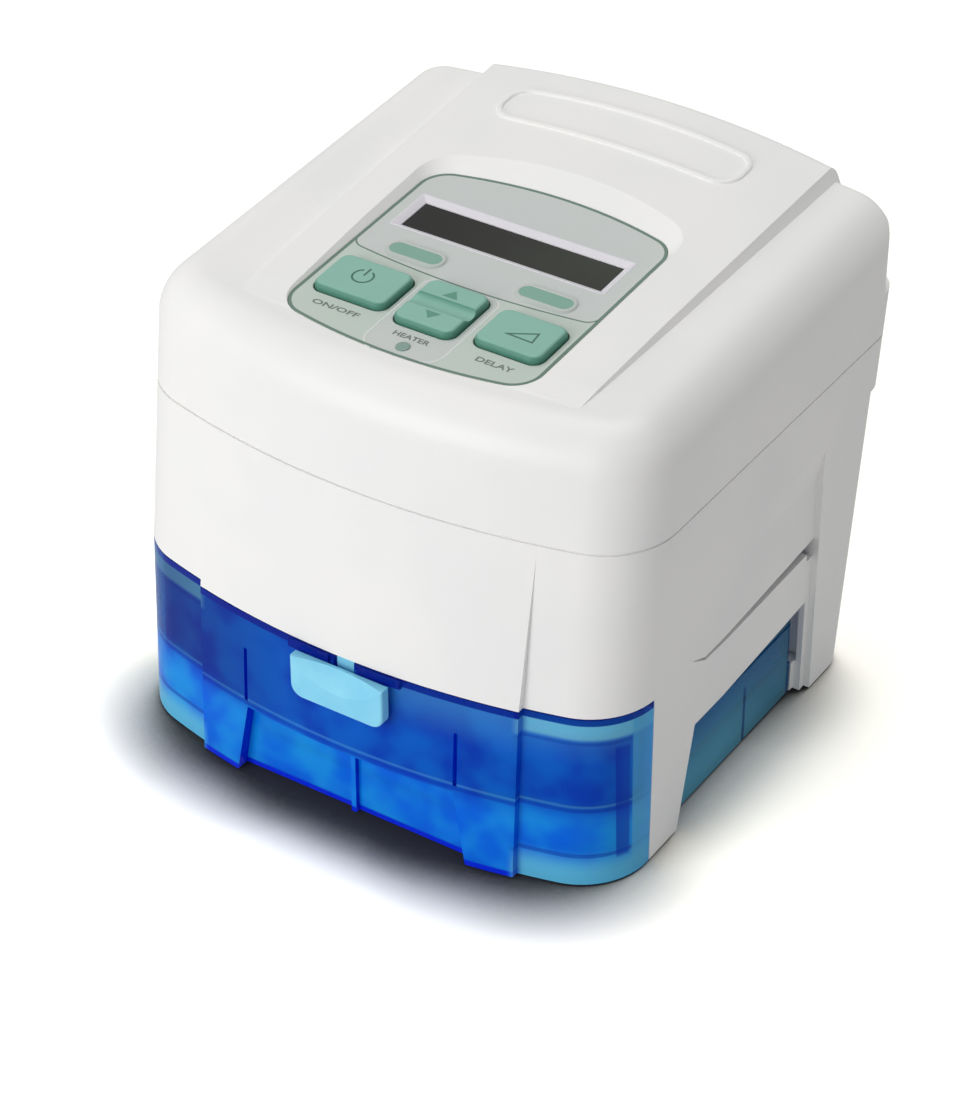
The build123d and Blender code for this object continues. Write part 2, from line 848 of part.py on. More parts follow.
def main_housing():
    """Moulded case: blower chamber over the tank and a hollow rear column."""
    body = leaning(base_clearance, seam_height, shell_front, shell_rear) & housing_side()
    pad = leaning(housing_floor, seam_height, housing_pad_front, shell_rear)
    pad &= middle_block(pad_half_width, -depth, 0, housing_floor, seam_height)
    body = body + pad + bumper_band(bumper_bottom, seam_height)
    body -= seam_ring(seam_height - seam_line, seam_height)
    inside = leaning(base_clearance, seam_height + cut_reach, shell_front, shell_rear, wall) & cavity_side()
    for outer, inner in zip(flank_wedges(), flank_wedges(wall)):
        body -= outer
        inside -= inner
    body -= inside
    body += cover_posts() & leaning(housing_floor, seam_height, shell_front, shell_rear, wall / 2)
    body -= block(-bay_half_width, bay_half_width, -depth, column_front_y, 0, housing_floor)
    for x, y in post_places:
        body -= rod(screw_head_radius + screw_head_gap, x, y, 0, screw_seat_height)
        body -= rod(screw_radius + fit_gap, x, y, screw_seat_height - cut_reach, seam_height + cut_reach)
    lip_bottom = seam_height - lip_depth
    lip_top = seam_height + lip_height
    lip_out = leaning(lip_bottom, lip_top, shell_front, flat_rear, wall + lip_gap)
    lip_inset = wall + lip_gap + lip_thickness
    lip_in = leaning(lip_bottom - cut_reach, lip_top + cut_reach, shell_front, flat_rear, lip_inset)
    body += (lip_out - lip_in) - cover_bosses_clear()
    for x in (-tank_port_x, tank_port_x):
        body -= rod_y(tank_port_radius + fit_gap, x, tank_port_z, column_front_y - cut_reach,
                      column_front_y + wall + cut_reach)
    shroud = rod_y(hose_port_recess_radius + wall, tank_port_x, tank_port_z,
                   recess_floor_y() - wall, shell_rear(tank_port_z))
    body += shroud & leaning(base_clearance, seam_height, shell_front, shell_rear, wall / 2)
    body -= rod_y(hose_port_recess_radius, tank_port_x, tank_port_z, recess_floor_y(), depth)
    body -= rod_y(hose_pipe_radius + fit_gap, tank_port_x, tank_port_z, column_front_y + 2 * wall, depth)
    body += filter_pocket()
    body -= filter_pocket_space()
    body -= inlet_hole()
    for x, y in rear_feet_places():
        body -= rod(rear_foot_radius + fit_gap, x, y, 0, foot_pad_height)
    return body


def cover_bosses_clear():
    """Room for the cover's bosses inside the lip."""
    tools = None
    for x, y in post_places:
        tool = rod(boss_radius + seat_gap, x, y, seam_height, seam_height + 2 * lip_height)
        tools = tool if tools is None else tools + tool
    return tools


def rear_feet_places():
    """Two feet under the rear column."""
    rear = shell_rear(base_clearance) - sagitta(rear_bow_radius, rear_foot_x + rear_foot_radius)
    y = (column_low_front_y + rear) / 2
    return [(-rear_foot_x, y), (rear_foot_x, y)]


def filter_face_y():
    """Depth of the grille behind the filter."""
    return shell_rear(filter_z) - sagitta(rear_bow_radius, filter_x + filter_width / 2) - filter_depth


def filter_block(grow, y0, y1):
    """Block of the filter's outline, grown by the given amount."""
    half_x = filter_width / 2 + grow
    half_z = filter_height / 2 + grow
    return block(filter_x - half_x, filter_x + half_x, y0, y1, filter_z - half_z, filter_z + half_z)


def filter_slot_places():
    """Heights of the air slots."""
    pitch = (filter_height - 2 * grille_slot) / filter_slots
    return [filter_z + (i - (filter_slots - 1) / 2) * pitch for i in range(filter_slots)]


def filter_pocket():
    """Walls round the filter, fused to the rear wall."""
    outer = filter_block(filter_wall, filter_face_y() - filter_wall, depth)
    return outer & leaning(base_clearance, seam_height, shell_front, shell_rear, wall / 2)


def filter_pocket_space():
    """Space for the filter and its cover, with air slots through the grille."""
    space = filter_block(0, filter_face_y(), depth)
    bar = Box(filter_width - 2 * filter_bar_inset, 4 * filter_wall, grille_slot)
    for z in filter_slot_places():
        space += Pos(filter_x, filter_face_y(), z) * bar
    return space


def air_filter():
    """Foam filter block."""
    return filter_block(-filter_play, filter_face_y(), filter_face_y() + filter_thickness)


def filter_cover():
    """Louvred cover over the filter, flush with the rear of the housing."""
    outer = leaning(base_clearance, seam_height, shell_front, shell_rear)
    frame = filter_block(-seat_gap, filter_face_y() + filter_thickness + seat_gap, depth) & outer
    slot = Box(filter_width - 2 * filter_bar_inset, depth, filter_slot)
    for z in filter_slot_places():
        frame -= Pos(filter_x, filter_face_y(), z) * slot
    return frame


def inlet_face_y():
    """Depth of the power inlet's face."""
    bow = sagitta(rear_bow_radius, abs(inlet_x) + inlet_width / 2)
    return shell_rear(inlet_z - inlet_height / 2) - bow - inlet_sink


def inlet_block(grow, y0, y1):
    """Block of the inlet's outline, grown by the given amount."""
    half_x = inlet_width / 2 + grow
    half_z = inlet_height / 2 + grow
    return block(inlet_x - half_x, inlet_x + half_x, y0, y1, inlet_z - half_z, inlet_z + half_z)


def inlet_hole():
    """Recess and hole for the power inlet."""
    return inlet_block(fit_gap, inlet_face_y() - inlet_rim, depth)


def power_inlet():
    """Two-pole mains inlet with a figure-eight socket."""
    face = inlet_face_y()
    socket = Plane.XZ * SlotOverall(inlet_socket_width, inlet_socket_height)
    tool = Pos(inlet_x, face + cut_reach, inlet_z) * extrude(socket, inlet_socket_depth + cut_reach)
    return inlet_block(0, face - inlet_body_depth, face) - tool


def inlet_pins():
    """The inlet's two pins."""
    face = inlet_face_y()
    return [
        rod_y(inlet_pin_radius, inlet_x + side * inlet_pin_pitch / 2, inlet_z, face - inlet_socket_depth,
              face - inlet_pin_sink)
        for side in (-1, 1)
    ]


def rear_feet():
    """Rubber feet under the column."""
    return [rod(rear_foot_radius, x, y, 0, foot_pad_height) for x, y in rear_feet_places()]


# ---------------------------------------------------------------- cradle
def front_feet_block(x_side, grow, z0, z1):
    """Rubber pad under a front leg."""
    x = x_side * (bay_half_width + half_width) / 2
    y = (leg_front_y + leg_rear_foot_y) / 2
    return Pos(x, y, (z0 + z1) / 2) * Box(front_foot_width + 2 * grow, front_foot_length + 2 * grow, z1 - z0)


def front_feet():
    """Rubber pads under the front legs."""
    return [front_feet_block(side, 0, 0, foot_pad_height) for side in (-1, 1)]


def rail_outline():
    """Side outline of a leg and its rail, with the groove under the housing's skirt."""
    skirt = housing_floor - skirt_drop
    rail_end = column_front_y - fit_gap
    notch_top = skirt - groove_end
    return [
        (leg_front_y, base_clearance),
        (leg_rear_foot_y, base_clearance),
        (leg_rear_top_y, window_top),
        (window_rear_y, window_top),
        (window_rear_y, base_clearance),
        (rail_end, base_clearance),
        (rail_end, notch_top - notch_depth),
        (rail_end - notch_length, notch_top - notch_depth),
        (rail_end - notch_length, notch_top),
        (rail_groove_y, skirt - groove_start),
        (rail_split_y, housing_floor),
        (leg_front_y, housing_floor),
    ]


def humidifier_cradle():
    """Side rails with front legs, and the rear beam that carries the heater deck."""
    body = leaning(base_clearance, housing_floor, shell_front, shell_rear) & side_cut(rail_outline())
    body -= block(-bay_half_width, bay_half_width, -depth, depth, 0, 2 * rim_height)
    for wedge in flank_wedges():
        body -= wedge
    beam_reach = bay_half_width - beam_gap
    tie_reach = bay_half_width + leg_wall / 4
    beam_rear_y = column_low_front_y - beam_gap
    beam = block(-beam_reach, beam_reach, beam_front_y, beam_rear_y, base_clearance, beam_top)
    beam += block(-tie_reach, tie_reach, window_rear_y, column_front_y - beam_gap, base_clearance, beam_top)
    deck = block(-deck_half_width, deck_half_width, deck_front_y, beam_front_y + cut_reach,
                 base_clearance + slide_gap, deck_top)
    deck = fillet(deck.edges().filter_by(Axis.Z).group_by(Axis.Y)[0], deck_corner)
    seat_z = deck_top - heater_spring_seat
    for x, y in heater_spring_places():
        deck -= rod(heater_spring_radius + seat_gap, x, y, seat_z, deck_top + cut_reach)
    body = body + beam + deck
    for side in (-1, 1):
        body -= front_feet_block(side, fit_gap, 0, foot_pad_height)
    return body


def heater_spring_places():
    """Four springs under the heater plate."""
    reach_x = heater_width / 2 - heater_spring_inset
    reach_y = heater_length / 2 - heater_spring_inset
    return [
        (sx * reach_x, heat_plate_y + sy * reach_y)
        for sx in (-1, 1)
        for sy in (-1, 1)
    ]


def heater_plate():
    """Sprung metal plate that warms the tank."""
    z1 = tank_floor - seat_gap
    plate = RectangleRounded(heater_width, heater_length, heat_plate_corner)
    return Pos(0, heat_plate_y, z1 - heater_thickness) * extrude(plate, heater_thickness)


def heater_springs():
    """Compression springs as short sleeves under the plate."""
    top = tank_floor - seat_gap - heater_thickness
    return [
        rod(heater_spring_radius, x, y, deck_top - heater_spring_seat, top)
        - rod(heater_spring_radius - heater_spring_wire, x, y, 0, top + cut_reach)
        for x, y in heater_spring_places()
    ]


# ---------------------------------------------------------------- water tank
def tank_plan(z0, z1, inset=0.0):
    """Upright body of the tank's plan outline."""
    face = plan(tub_front_y + inset, tank_rear_y - inset, tank_half_width - inset, tub_corner_front - inset,
                tub_corner_rear - inset, 20 * rear_bow_radius)
    return extrude(Pos(0, 0, z0) * face, z1 - z0)


def pad_front(z):
    """Front face of the tank's centre pad at height z."""
    return tank_front(z) - pad_proud


def bar_front(z):
    """Front face of the short bars on the tank's rim."""
    return pad_front(z) - rim_bar_proud


def straight_rear(z):
    """Rear limit of the leaning bodies that are only used for their front."""
    return rear_y


def fascia_end():
    """Rear end of the tank's front panel, just in front of the legs."""
    return leg_front_y - slide_gap


def fascia_block(inset):
    """Front of the tank: leaning face, large corners and the proud centre panel."""
    over = cut_reach if inset else 0
    top = rim_height + over
    bottom = base_clearance - over
    body = leaning(bottom, top, tank_front, straight_rear, inset)
    pad = leaning(bottom, top, pad_front, straight_rear, inset)
    reach = pad_half_width - inset
    body += pad & middle_block(reach, -depth, 0, bottom, top)
    return body & block(-width, width, -depth, fascia_end() - inset, bottom, top)


def grip_recess(grow):
    """Flared finger recess in the lower front of the tank."""
    def section(z, half):
        y_back = pad_front(0) + grip_depth + grow
        left = front_middle - half
        right = front_middle + half
        return Pos(0, 0, z) * make_face(
            Polyline([(left, -depth), (right, -depth), (right, y_back), (left, y_back)], close=True)
        )
    low = section(base_clearance - cut_reach, grip_half_bottom + grow)
    high = section(min(grip_top + grow, parting_height), grip_half_top + grow)
    return loft([low, high], ruled=True)


def rim_bars():
    """Two short raised bars on the rim, left and right of the latch's neck."""
    z0 = rim_height - rim_bar_height
    band = leaning(z0, rim_height, bar_front, straight_rear)
    root_y = pad_front(rim_height) + fascia_wall
    bars = []
    for side in (-1, 1):
        ends = sorted((front_middle + side * rim_bar_start, front_middle + side * rim_bar_end))
        bars.append(band & block(ends[0], ends[1], -depth, root_y, z0, rim_height))
    return bars


def tank_fascia():
    """The tank's front shell with its grip recess, rim bars, slits and latch window."""
    inner = tank_half_width - tank_wall
    clear = tank_half_width + slide_gap
    start = fascia_end() - fascia_wall - cut_reach
    hollow = fascia_block(fascia_wall) + block(-inner, inner, start, rear_y, -cut_reach, 2 * rim_height)
    hollow += block(-clear, clear, start, rear_y, parting_height, 2 * rim_height)
    grip_room = block(-width, width, -depth, tub_front_y + tub_corner_front, -cut_reach, rim_height)
    grip_walls = grip_recess(fascia_wall) & grip_room
    front = fascia_block(0) - (hollow - grip_walls) - grip_recess(0)
    back = pad_front(0) + grip_depth
    front += middle_block(grip_rib / 2, back - grip_rib_proud, tub_front_y + tank_wall, base_clearance, grip_top)
    for bar in rim_bars():
        front += bar
    slit_floor = pad_front(slit_top) + sagitta(front_bow_radius, slit_x) + slit_depth
    for side in (-1, 1):
        x = front_middle + side * slit_x
        front -= block(x - slit_width / 2, x + slit_width / 2, -depth, slit_floor, slit_bottom, slit_top)
    return front - latch_window()


def tank_tub():
    """Clear lower tank with its front panel, flange and side skirts."""
    tub = tank_plan(tank_floor, parting_height)
    tub -= tank_plan(tank_floor + tank_wall, parting_height + cut_reach, tank_wall)
    flange_low = parting_height - flange_drop
    flange = fascia_block(0) & block(-width, width, -depth, depth, flange_low, parting_height)
    flange -= tank_plan(0, rim_height, tank_wall / 2)
    tub += flange - grip_recess(0)
    skirt_front_y = fascia_end() - fascia_wall
    for side in (-1, 1):
        ends = sorted((side * (tank_half_width - tank_wall), side * tank_half_width))
        tub += block(ends[0], ends[1], skirt_front_y, skirt_rear_y, skirt_bottom, tank_floor + cut_reach)
    tub += tank_fascia()
    opening = RectangleRounded(
        heat_plate_width - 2 * heat_plate_ledge, heat_plate_length - 2 * heat_plate_ledge,
        heat_plate_corner - heat_plate_ledge / 2)
    seat = RectangleRounded(
        heat_plate_width + 2 * fit_gap, heat_plate_length + 2 * fit_gap, heat_plate_corner + fit_gap)
    tub -= Pos(0, heat_plate_y, 0) * extrude(opening, parting_height)
    tub -= Pos(0, heat_plate_y, 0) * extrude(seat, tank_floor + heat_plate_thickness)
    return tub


def tank_heat_plate():
    """Metal plate sealed into the tank floor."""
    plate = RectangleRounded(heat_plate_width, heat_plate_length, heat_plate_corner)
    return Pos(0, heat_plate_y, tank_floor) * extrude(plate, heat_plate_thickness)


def tank_seal():
    """Gasket between tub and lid."""
    outer = tank_plan(parting_height, parting_top, seal_inset)
    return outer - tank_plan(0, rim_height, tank_wall - seal_inset)


def tank_lid():
    """Clear lid with its two air ports at the rear and a pocket for the latch."""
    lid = tank_plan(parting_top, lid_top)
    lid = fillet(lid.faces().sort_by(Axis.Z)[-1].edges(), lid_rounding)
    lid -= tank_plan(0, lid_top - tank_wall, tank_wall)
    reach = latch_block_half + latch_pocket_play
    back = tub_front_y + latch_block_depth + latch_pocket_play
    notch = middle_block(reach, -depth, back, pocket_floor, 2 * lid_top)
    shelf = middle_block(reach + tank_wall, tub_front_y + tank_wall / 2, back + tank_wall,
                         pocket_floor - tank_wall, lid_top - tank_wall / 2)
    lid = lid - notch + (shelf - notch)
    port_end = tank_rear_y + tank_port_length
    for side in (-1, 1):
        x = side * tank_port_x
        lid += rod_y(tank_port_radius, x, tank_port_z, tank_rear_y - tank_wall, port_end)
        lid -= rod_y(tank_port_bore, x, tank_port_z, tank_rear_y - 2 * tank_wall, rear_y)
    return lid


def latch_window():
    """Hole in the tank front for the latch stem and its neck."""
    y1 = tub_front_y + latch_pocket_play
    low = latch_middle - latch_stem_height / 2 - latch_travel - latch_play
    high = latch_middle + latch_stem_height / 2 + latch_play
    stem = middle_block(latch_stem_half + latch_play, -depth, y1, low, high)
    return stem + middle_block(latch_neck_half + latch_play, -depth, y1, latch_middle, 2 * rim_height)


def latch_plate():
    """Thumb plate of the latch with rounded edges and a spherical scoop."""
    back = pad_front(latch_low) - seat_gap
    face = Rectangle(2 * latch_half_width, latch_top - latch_bottom)
    face = fillet(face.vertices().group_by(Axis.Y)[0], latch_corner)
    plate = Pos(front_middle, back, latch_middle) * extrude(Plane.XZ * face, latch_thickness)
    plate = fillet(plate.faces().sort_by(Axis.Y)[0].edges(), latch_rounding)
    centre = Pos(front_middle, back - latch_thickness - latch_scoop_out, latch_top + latch_scoop_up)
    return plate - centre * Sphere(latch_scoop_radius)


def tank_latch():
    """Sliding latch: scooped thumb plate, stem, guide block and upright tooth."""
    back = pad_front(latch_low) - seat_gap
    inner_y = latch_inner_y()
    guide_y = inner_y + latch_block_depth
    low = latch_middle - latch_stem_height / 2
    high = latch_middle + latch_stem_height / 2
    neck_y = pad_front(rim_height) + latch_neck_sink
    stem = middle_block(latch_stem_half, back - latch_play, inner_y + latch_play, low, high)
    guide = middle_block(latch_block_half, inner_y, guide_y, low, latch_top)
    neck = middle_block(latch_neck_half, neck_y, guide_y, high - latch_play, housing_floor - seat_gap)
    return latch_plate() + stem + guide + neck


def latch_inner_y():
    """Front of the guide block, just behind the tank's front panel."""
    bow = sagitta(front_bow_radius, latch_block_half)
    return pad_front(latch_top) + bow + fascia_wall + seat_gap


def latch_spring():
    """Return spring under the guide block."""
    y = latch_inner_y() + latch_block_depth - latch_spring_radius - ear_gap
    z1 = latch_middle - latch_stem_height / 2
    outer = rod(latch_spring_radius, front_middle, y, pocket_floor, z1)
    return outer - rod(latch_spring_radius - latch_spring_wire, front_middle, y, 0, z1 + cut_reach)


# ---------------------------------------------------------------- air path
def scroll_body(grow, z0, z1):
    """Prism of the scroll: growing spiral from the tongue to the outlet."""
    sweep = 1.5 * pi
    points = []
    for i in range(scroll_steps + 1):
        share = i / scroll_steps
        angle = 0.5 * pi - share * sweep
        radius = scroll_start + scroll_growth * share + grow
        points.append((blower_x + radius * cos(angle), blower_y + radius * sin(angle)))
    spiral = Spline(points)
    end = points[-1]
    face = make_face([spiral, Line(end, (blower_x, blower_y)), Line((blower_x, blower_y), points[0])])
    quarter = Pos(blower_x, blower_y) * Circle(scroll_start + grow)
    return extrude(Pos(0, 0, z0) * (face + quarter), z1 - z0)


def outlet_run(radius, y1):
    """Straight outlet pipe from the scroll to the duct."""
    return rod_y(radius, outlet_x, outlet_z, blower_y, y1)


def blower_inside():
    """Air space of the blower."""
    space = scroll_body(0, blower_floor + scroll_wall, blower_floor + blower_height - scroll_wall)
    space += outlet_run(port_bore, blower_outlet_y() + cut_reach)
    return space


def blower_solid():
    """Outside of the blower."""
    body = scroll_body(scroll_wall, blower_floor, blower_floor + blower_height)
    body += outlet_run(port_radius, blower_outlet_y())
    return body


def blower_outlet_y():
    """Rear end of the blower's outlet pipe."""
    return blower_y + outlet_length


def blower_base():
    """Lower half of the blower with the motor seat and the outlet pipe."""
    body = blower_solid() - blower_inside()
    body &= block(-width, width, -depth, depth, 0, outlet_z)
    body -= rod(motor_radius + seat_gap, blower_x, blower_y, 0, blower_floor + scroll_wall + cut_reach)
    return body


def blower_cover():
    """Upper half of the blower with its round air eye."""
    body = blower_solid() - blower_inside()
    body &= block(-width, width, -depth, depth, outlet_z, 2 * width)
    body -= rod(eye_radius, blower_x, blower_y, outlet_z, 2 * width)
    roof = blower_floor + blower_height
    lip = rod(eye_radius + eye_lip, blower_x, blower_y, roof - cut_reach, roof + eye_lip_rise)
    lip = lip - rod(eye_radius, blower_x, blower_y, 0, 2 * width)
    return body + lip


def impeller():
    """Backward-curved impeller: hub, back disc and blades."""
    z0 = blower_floor + scroll_wall + impeller_lift
    hub = rod(hub_radius, blower_x, blower_y, z0, z0 + impeller_height * hub_share)
    disc = rod(impeller_radius, blower_x, blower_y, z0, z0 + impeller_disc)
    wheel = hub + disc
    reach = impeller_radius - blade_inset
    inner = hub_radius - 2 * blade_inset
    lean = blade_lean * pi / 180
    half_way = (inner + reach) / 2
    middle = (half_way * cos(lean * blade_bow), half_way * sin(lean * blade_bow))
    path = ThreePointArc((inner, 0), middle, (reach * cos(lean), reach * sin(lean)))
    blade = trace(path, blade_thickness)
    blade = extrude(Pos(0, 0, z0 + impeller_disc / 2) * blade, impeller_height - impeller_disc / 2)
    for i in range(impeller_blades):
        wheel += Pos(blower_x, blower_y) * Rot(0, 0, 360 * i / impeller_blades) * blade
    wheel -= rod(shaft_radius, blower_x, blower_y, 0, 2 * width)
    return wheel


def motor_shaft():
    """Shaft pressed into the impeller, turning in the motor."""
    z1 = blower_floor + scroll_wall + impeller_lift + impeller_height * hub_share
    return rod(shaft_radius, blower_x, blower_y, blower_floor - cut_reach, z1)


def blower_motor():
    """Flat motor under the blower."""
    z1 = blower_floor + scroll_wall
    z0 = inside_floor + seat_gap
    body = rod(motor_radius, blower_x, blower_y, z0, z1)
    body += rod(motor_neck_radius, blower_x, blower_y, z1 - cut_reach, z1 + motor_neck_rise)
    return body - rod(shaft_radius + fit_gap, blower_x, blower_y, blower_floor - 2 * cut_reach, 2 * width)


def grommet_places():
    """Three rubber mounts round the blower."""
    spread = scroll_start + scroll_wall - grommet_inset
    return [
        (blower_x + spread * cos(a), blower_y + spread * sin(a))
        for a in (0.35 * pi, 1.0 * pi, 1.65 * pi)
    ]


def blower_grommets():
    """Rubber mounts that carry the blower on the housing floor."""
    return [rod(grommet_radius, x, y, inside_floor, blower_floor) for x, y in grommet_places()]


def air_duct():
    """Rubber pipe from the blower down the column to the tank's inlet."""
    y0 = blower_outlet_y() + fit_gap
    path = FilletPolyline(
        (outlet_x, y0, outlet_z),
        (outlet_x, duct_y, outlet_z),
        (outlet_x, duct_y, tank_port_z),
        (outlet_x, column_front_y + wall + ear_gap, tank_port_z),
        radius=duct_bend(),
    )
    section = Plane(origin=path @ 0, z_dir=path % 0)
    pipe = sweep(section * Circle(port_radius), path=path)
    bore = sweep(section * Circle(port_bore), path=path)
    return pipe - bore


def duct_bend():
    """Bend radius of the duct, limited by its short lower run."""
    return duct_y - column_front_y - wall - 2 * ear_gap


def port_seals():
    """Two soft seals between the column and the tank's ports."""
    seals = []
    tip = tank_rear_y + tank_port_length + seat_gap
    for side in (-1, 1):
        seal = rod_y(tank_port_radius, side * tank_port_x, tank_port_z, tip, column_front_y + wall)
        lip = rod_y(tank_port_radius + wall, side * tank_port_x, tank_port_z, tip, column_front_y - fit_gap)
        bore = rod_y(tank_port_bore, side * tank_port_x, tank_port_z, 0, depth)
        seals.append(seal + lip - bore)
    return seals


def hose_port():
    """Outlet pipe from the tank to the breathing hose, with a collar inside the recess floor."""
    x = tank_port_x
    z = tank_port_z
    collar_y = recess_floor_y() - wall - fit_gap
    pipe = rod_y(hose_pipe_radius, x, z, column_front_y + wall + ear_gap, rear_y)
    pipe += rod_y(port_radius, x, z, rear_y - spigot_chamfer - spigot_length, rear_y)
    pipe += rod_y(hose_pipe_radius + collar_rim, x, z, collar_y - collar_thickness, collar_y)
    pipe -= rod_y(port_bore, x, z, 0, depth)
    rim = pipe.faces().sort_by(Axis.Y)[-1].outer_wire().edges()
    return chamfer(rim, spigot_chamfer)


# ---------------------------------------------------------------- electrics
def circuit_board(x, board_width, parts_list):
    """Board with its larger components: (dx, dy as a share of its length, size_x, size_y, height)."""
    z0 = inside_floor + board_standoff
    z1 = z0 + board_thickness
    half = board_length / 2
    board = block(x - board_width / 2, x + board_width / 2, board_y - half, board_y + half, z0, z1)
    for dx, share, size_x, size_y, height in parts_list:
        place = Pos(x + dx, board_y + share * board_length, z1 + height / 2)
        board += place * Box(size_x, size_y, height)
    return board


def main_board():
    """Control board on the right of the blower."""
    components = [(-6, -0.32, 14, 14, 3), (8, -0.26, 8, 12, 9), (6, 0.05, 10, 10, 4), (2, 0.37, 22, 8, 11)]
    return circuit_board(main_board_x, main_board_width, components)


def power_supply_board():
    """Mains supply board on the left of the blower."""
    board = circuit_board(supply_board_x, supply_board_width, [(0, -0.26, 20, 24, 20), (2, 0.08, 16, 12, 14)])
    z0 = inside_floor + board_standoff + board_thickness
    for share in (0.26, 0.41):
        y = board_y + share * board_length
        board += rod(capacitor_radius, supply_board_x - standoff_inset, y, z0, z0 + capacitor_height)
    return board


def board_standoffs():
    """Pillars that carry the two boards."""
    pillars = []
    for x, board_width in ((main_board_x, main_board_width), (supply_board_x, supply_board_width)):
        for sx in (-1, 1):
            for sy in (-1, 1):
                px = x + sx * (board_width / 2 - standoff_inset)
                py = board_y + sy * (board_length / 2 - standoff_inset)
                pillars.append(rod(standoff_radius, px, py, inside_floor, inside_floor + board_standoff))
    return pillars


def cover_screws():
    """Four long screws from under the housing into the cover's bosses."""
    screws = []
    for x, y in post_places:
        head = rod(screw_head_radius, x, y, screw_seat_height - screw_head_height, screw_seat_height)
        shank = rod(screw_radius, x, y, screw_seat_height, seam_height + screw_bite - cut_reach)
        screws.append(head + shank)
    return screws


# ---------------------------------------------------------------- export
def as_shape(result):
    """One shape, or a group of separate solids as one compound."""
    if isinstance(result, list):
        return Compound(children=result)
    return result


nodes = {
    "top_cover": top_cover,
    "keypad_overlay": keypad_overlay,
    "power_button": lambda: row_key("power_button"),
    "ramp_button": lambda: row_key("ramp_button"),
    "heater_rocker": heater_rocker,
    "soft_key_left": lambda: soft_key("soft_key_left"),
    "soft_key_right": lambda: soft_key("soft_key_right"),
    "indicator_lens": indicator_lens,
    "lcd_window": lcd_window,
    "lcd_module": lcd_module,
    "keypad_board": keypad_board,
    "keypad_screws": keypad_screws,
    "main_housing": main_housing,
    "humidifier_cradle": humidifier_cradle,
    "front_feet": front_feet,
    "rear_feet": rear_feet,
    "heater_plate": heater_plate,
    "heater_springs": heater_springs,
    "tank_tub": tank_tub,
    "tank_lid": tank_lid,
    "tank_seal": tank_seal,
    "tank_heat_plate": tank_heat_plate,
    "tank_latch": tank_latch,
    "latch_spring": latch_spring,
    "blower_base": blower_base,
    "blower_cover": blower_cover,
    "impeller": impeller,
    "motor_shaft": motor_shaft,
    "blower_motor": blower_motor,
    "blower_grommets": blower_grommets,
    "air_duct": air_duct,
    "port_seals": port_seals,
    "hose_port": hose_port,
    "air_filter": air_filter,
    "filter_cover": filter_cover,
    "power_inlet": power_inlet,
    "inlet_pins": inlet_pins,
    "main_board": main_board,
    "power_supply_board": power_supply_board,
    "board_standoffs": board_standoffs,
    "cover_screws": cover_screws,
}

for node_name, build in nodes.items():
    export_step(as_shape(build()), f"parts/{node_name}.step")
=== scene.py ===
# %% [markdown]
# # A bedside breathing machine, dressed for the camera
#
# The machine is a white leaning case on a clear blue water tank, with a small
# control panel in its top. Its solid pieces come from the packed frame, in
# metres, and every one is already where it belongs. This lesson gives each of
# them a finish, adds the printed marks and trims that are too thin to be
# worth a solid, and lights the whole on a pale floor.

# %% Load the frame
from math import atan2, cos, radians, sin

import bpy
import numpy as np
from mathutils import Matrix, Vector


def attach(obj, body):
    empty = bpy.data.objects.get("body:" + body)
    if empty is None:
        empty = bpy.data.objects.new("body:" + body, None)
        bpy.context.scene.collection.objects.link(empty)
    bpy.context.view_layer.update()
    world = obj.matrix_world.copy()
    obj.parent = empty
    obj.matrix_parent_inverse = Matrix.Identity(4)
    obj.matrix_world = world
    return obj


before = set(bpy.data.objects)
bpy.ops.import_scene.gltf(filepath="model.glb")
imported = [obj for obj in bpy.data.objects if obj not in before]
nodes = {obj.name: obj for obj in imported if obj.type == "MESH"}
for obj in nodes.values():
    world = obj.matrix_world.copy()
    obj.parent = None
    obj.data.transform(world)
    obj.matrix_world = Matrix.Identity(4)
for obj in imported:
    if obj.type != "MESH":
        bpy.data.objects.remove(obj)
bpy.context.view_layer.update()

# %% [markdown]
# ## The camera
#
# A camera is a place, a direction and a lens. The direction is written as two
# angles, how far the camera has walked round the machine and how far it looks
# down. Writing the three axes out as a matrix, rather than tracking a target,
# keeps the picture level and the numbers plain.

# %% Camera
mm = 0.001
walk_round = radians(33.0956603)
look_down = radians(35.82396117)
camera_place = Vector((435.511, -678.719, 624.752)) * mm
ahead = Vector((
    -sin(walk_round) * cos(look_down),
    cos(walk_round) * cos(look_down),
    -sin(look_down),
))
across = Vector((cos(walk_round), sin(walk_round), 0))
upward = across.cross(ahead)
focal_length, frame_height = 3400, 1100        # both in pixels
sensor_width = 36.0

camera_data = bpy.data.cameras.new("camera")
camera_data.sensor_width = sensor_width
camera_data.lens = focal_length / frame_height * sensor_width
camera_data.clip_start = 0.05
camera_data.clip_end = 40
camera = bpy.data.objects.new("camera", camera_data)
camera.matrix_world = Matrix((
    (across.x, upward.x, -ahead.x, camera_place.x),
    (across.y, upward.y, -ahead.y, camera_place.y),
    (across.z, upward.z, -ahead.z, camera_place.z),
    (0, 0, 0, 1),
))
bpy.context.scene.collection.objects.link(camera)
bpy.context.scene.camera = camera
print("camera", [round(v, 3) for v in camera_place], "lens", round(camera_data.lens, 2))

# %% [markdown]
# ## Writing a finish as a formula
#
# A procedural finish is arithmetic on textures. Blender shows it as boxes and
# wires, which soon get hard to read, so the class below wraps one socket and
# lets it be added, multiplied and compared like a number. Each operator adds
# the Math node that it stands for, and `ramp` adds a Map Range node.

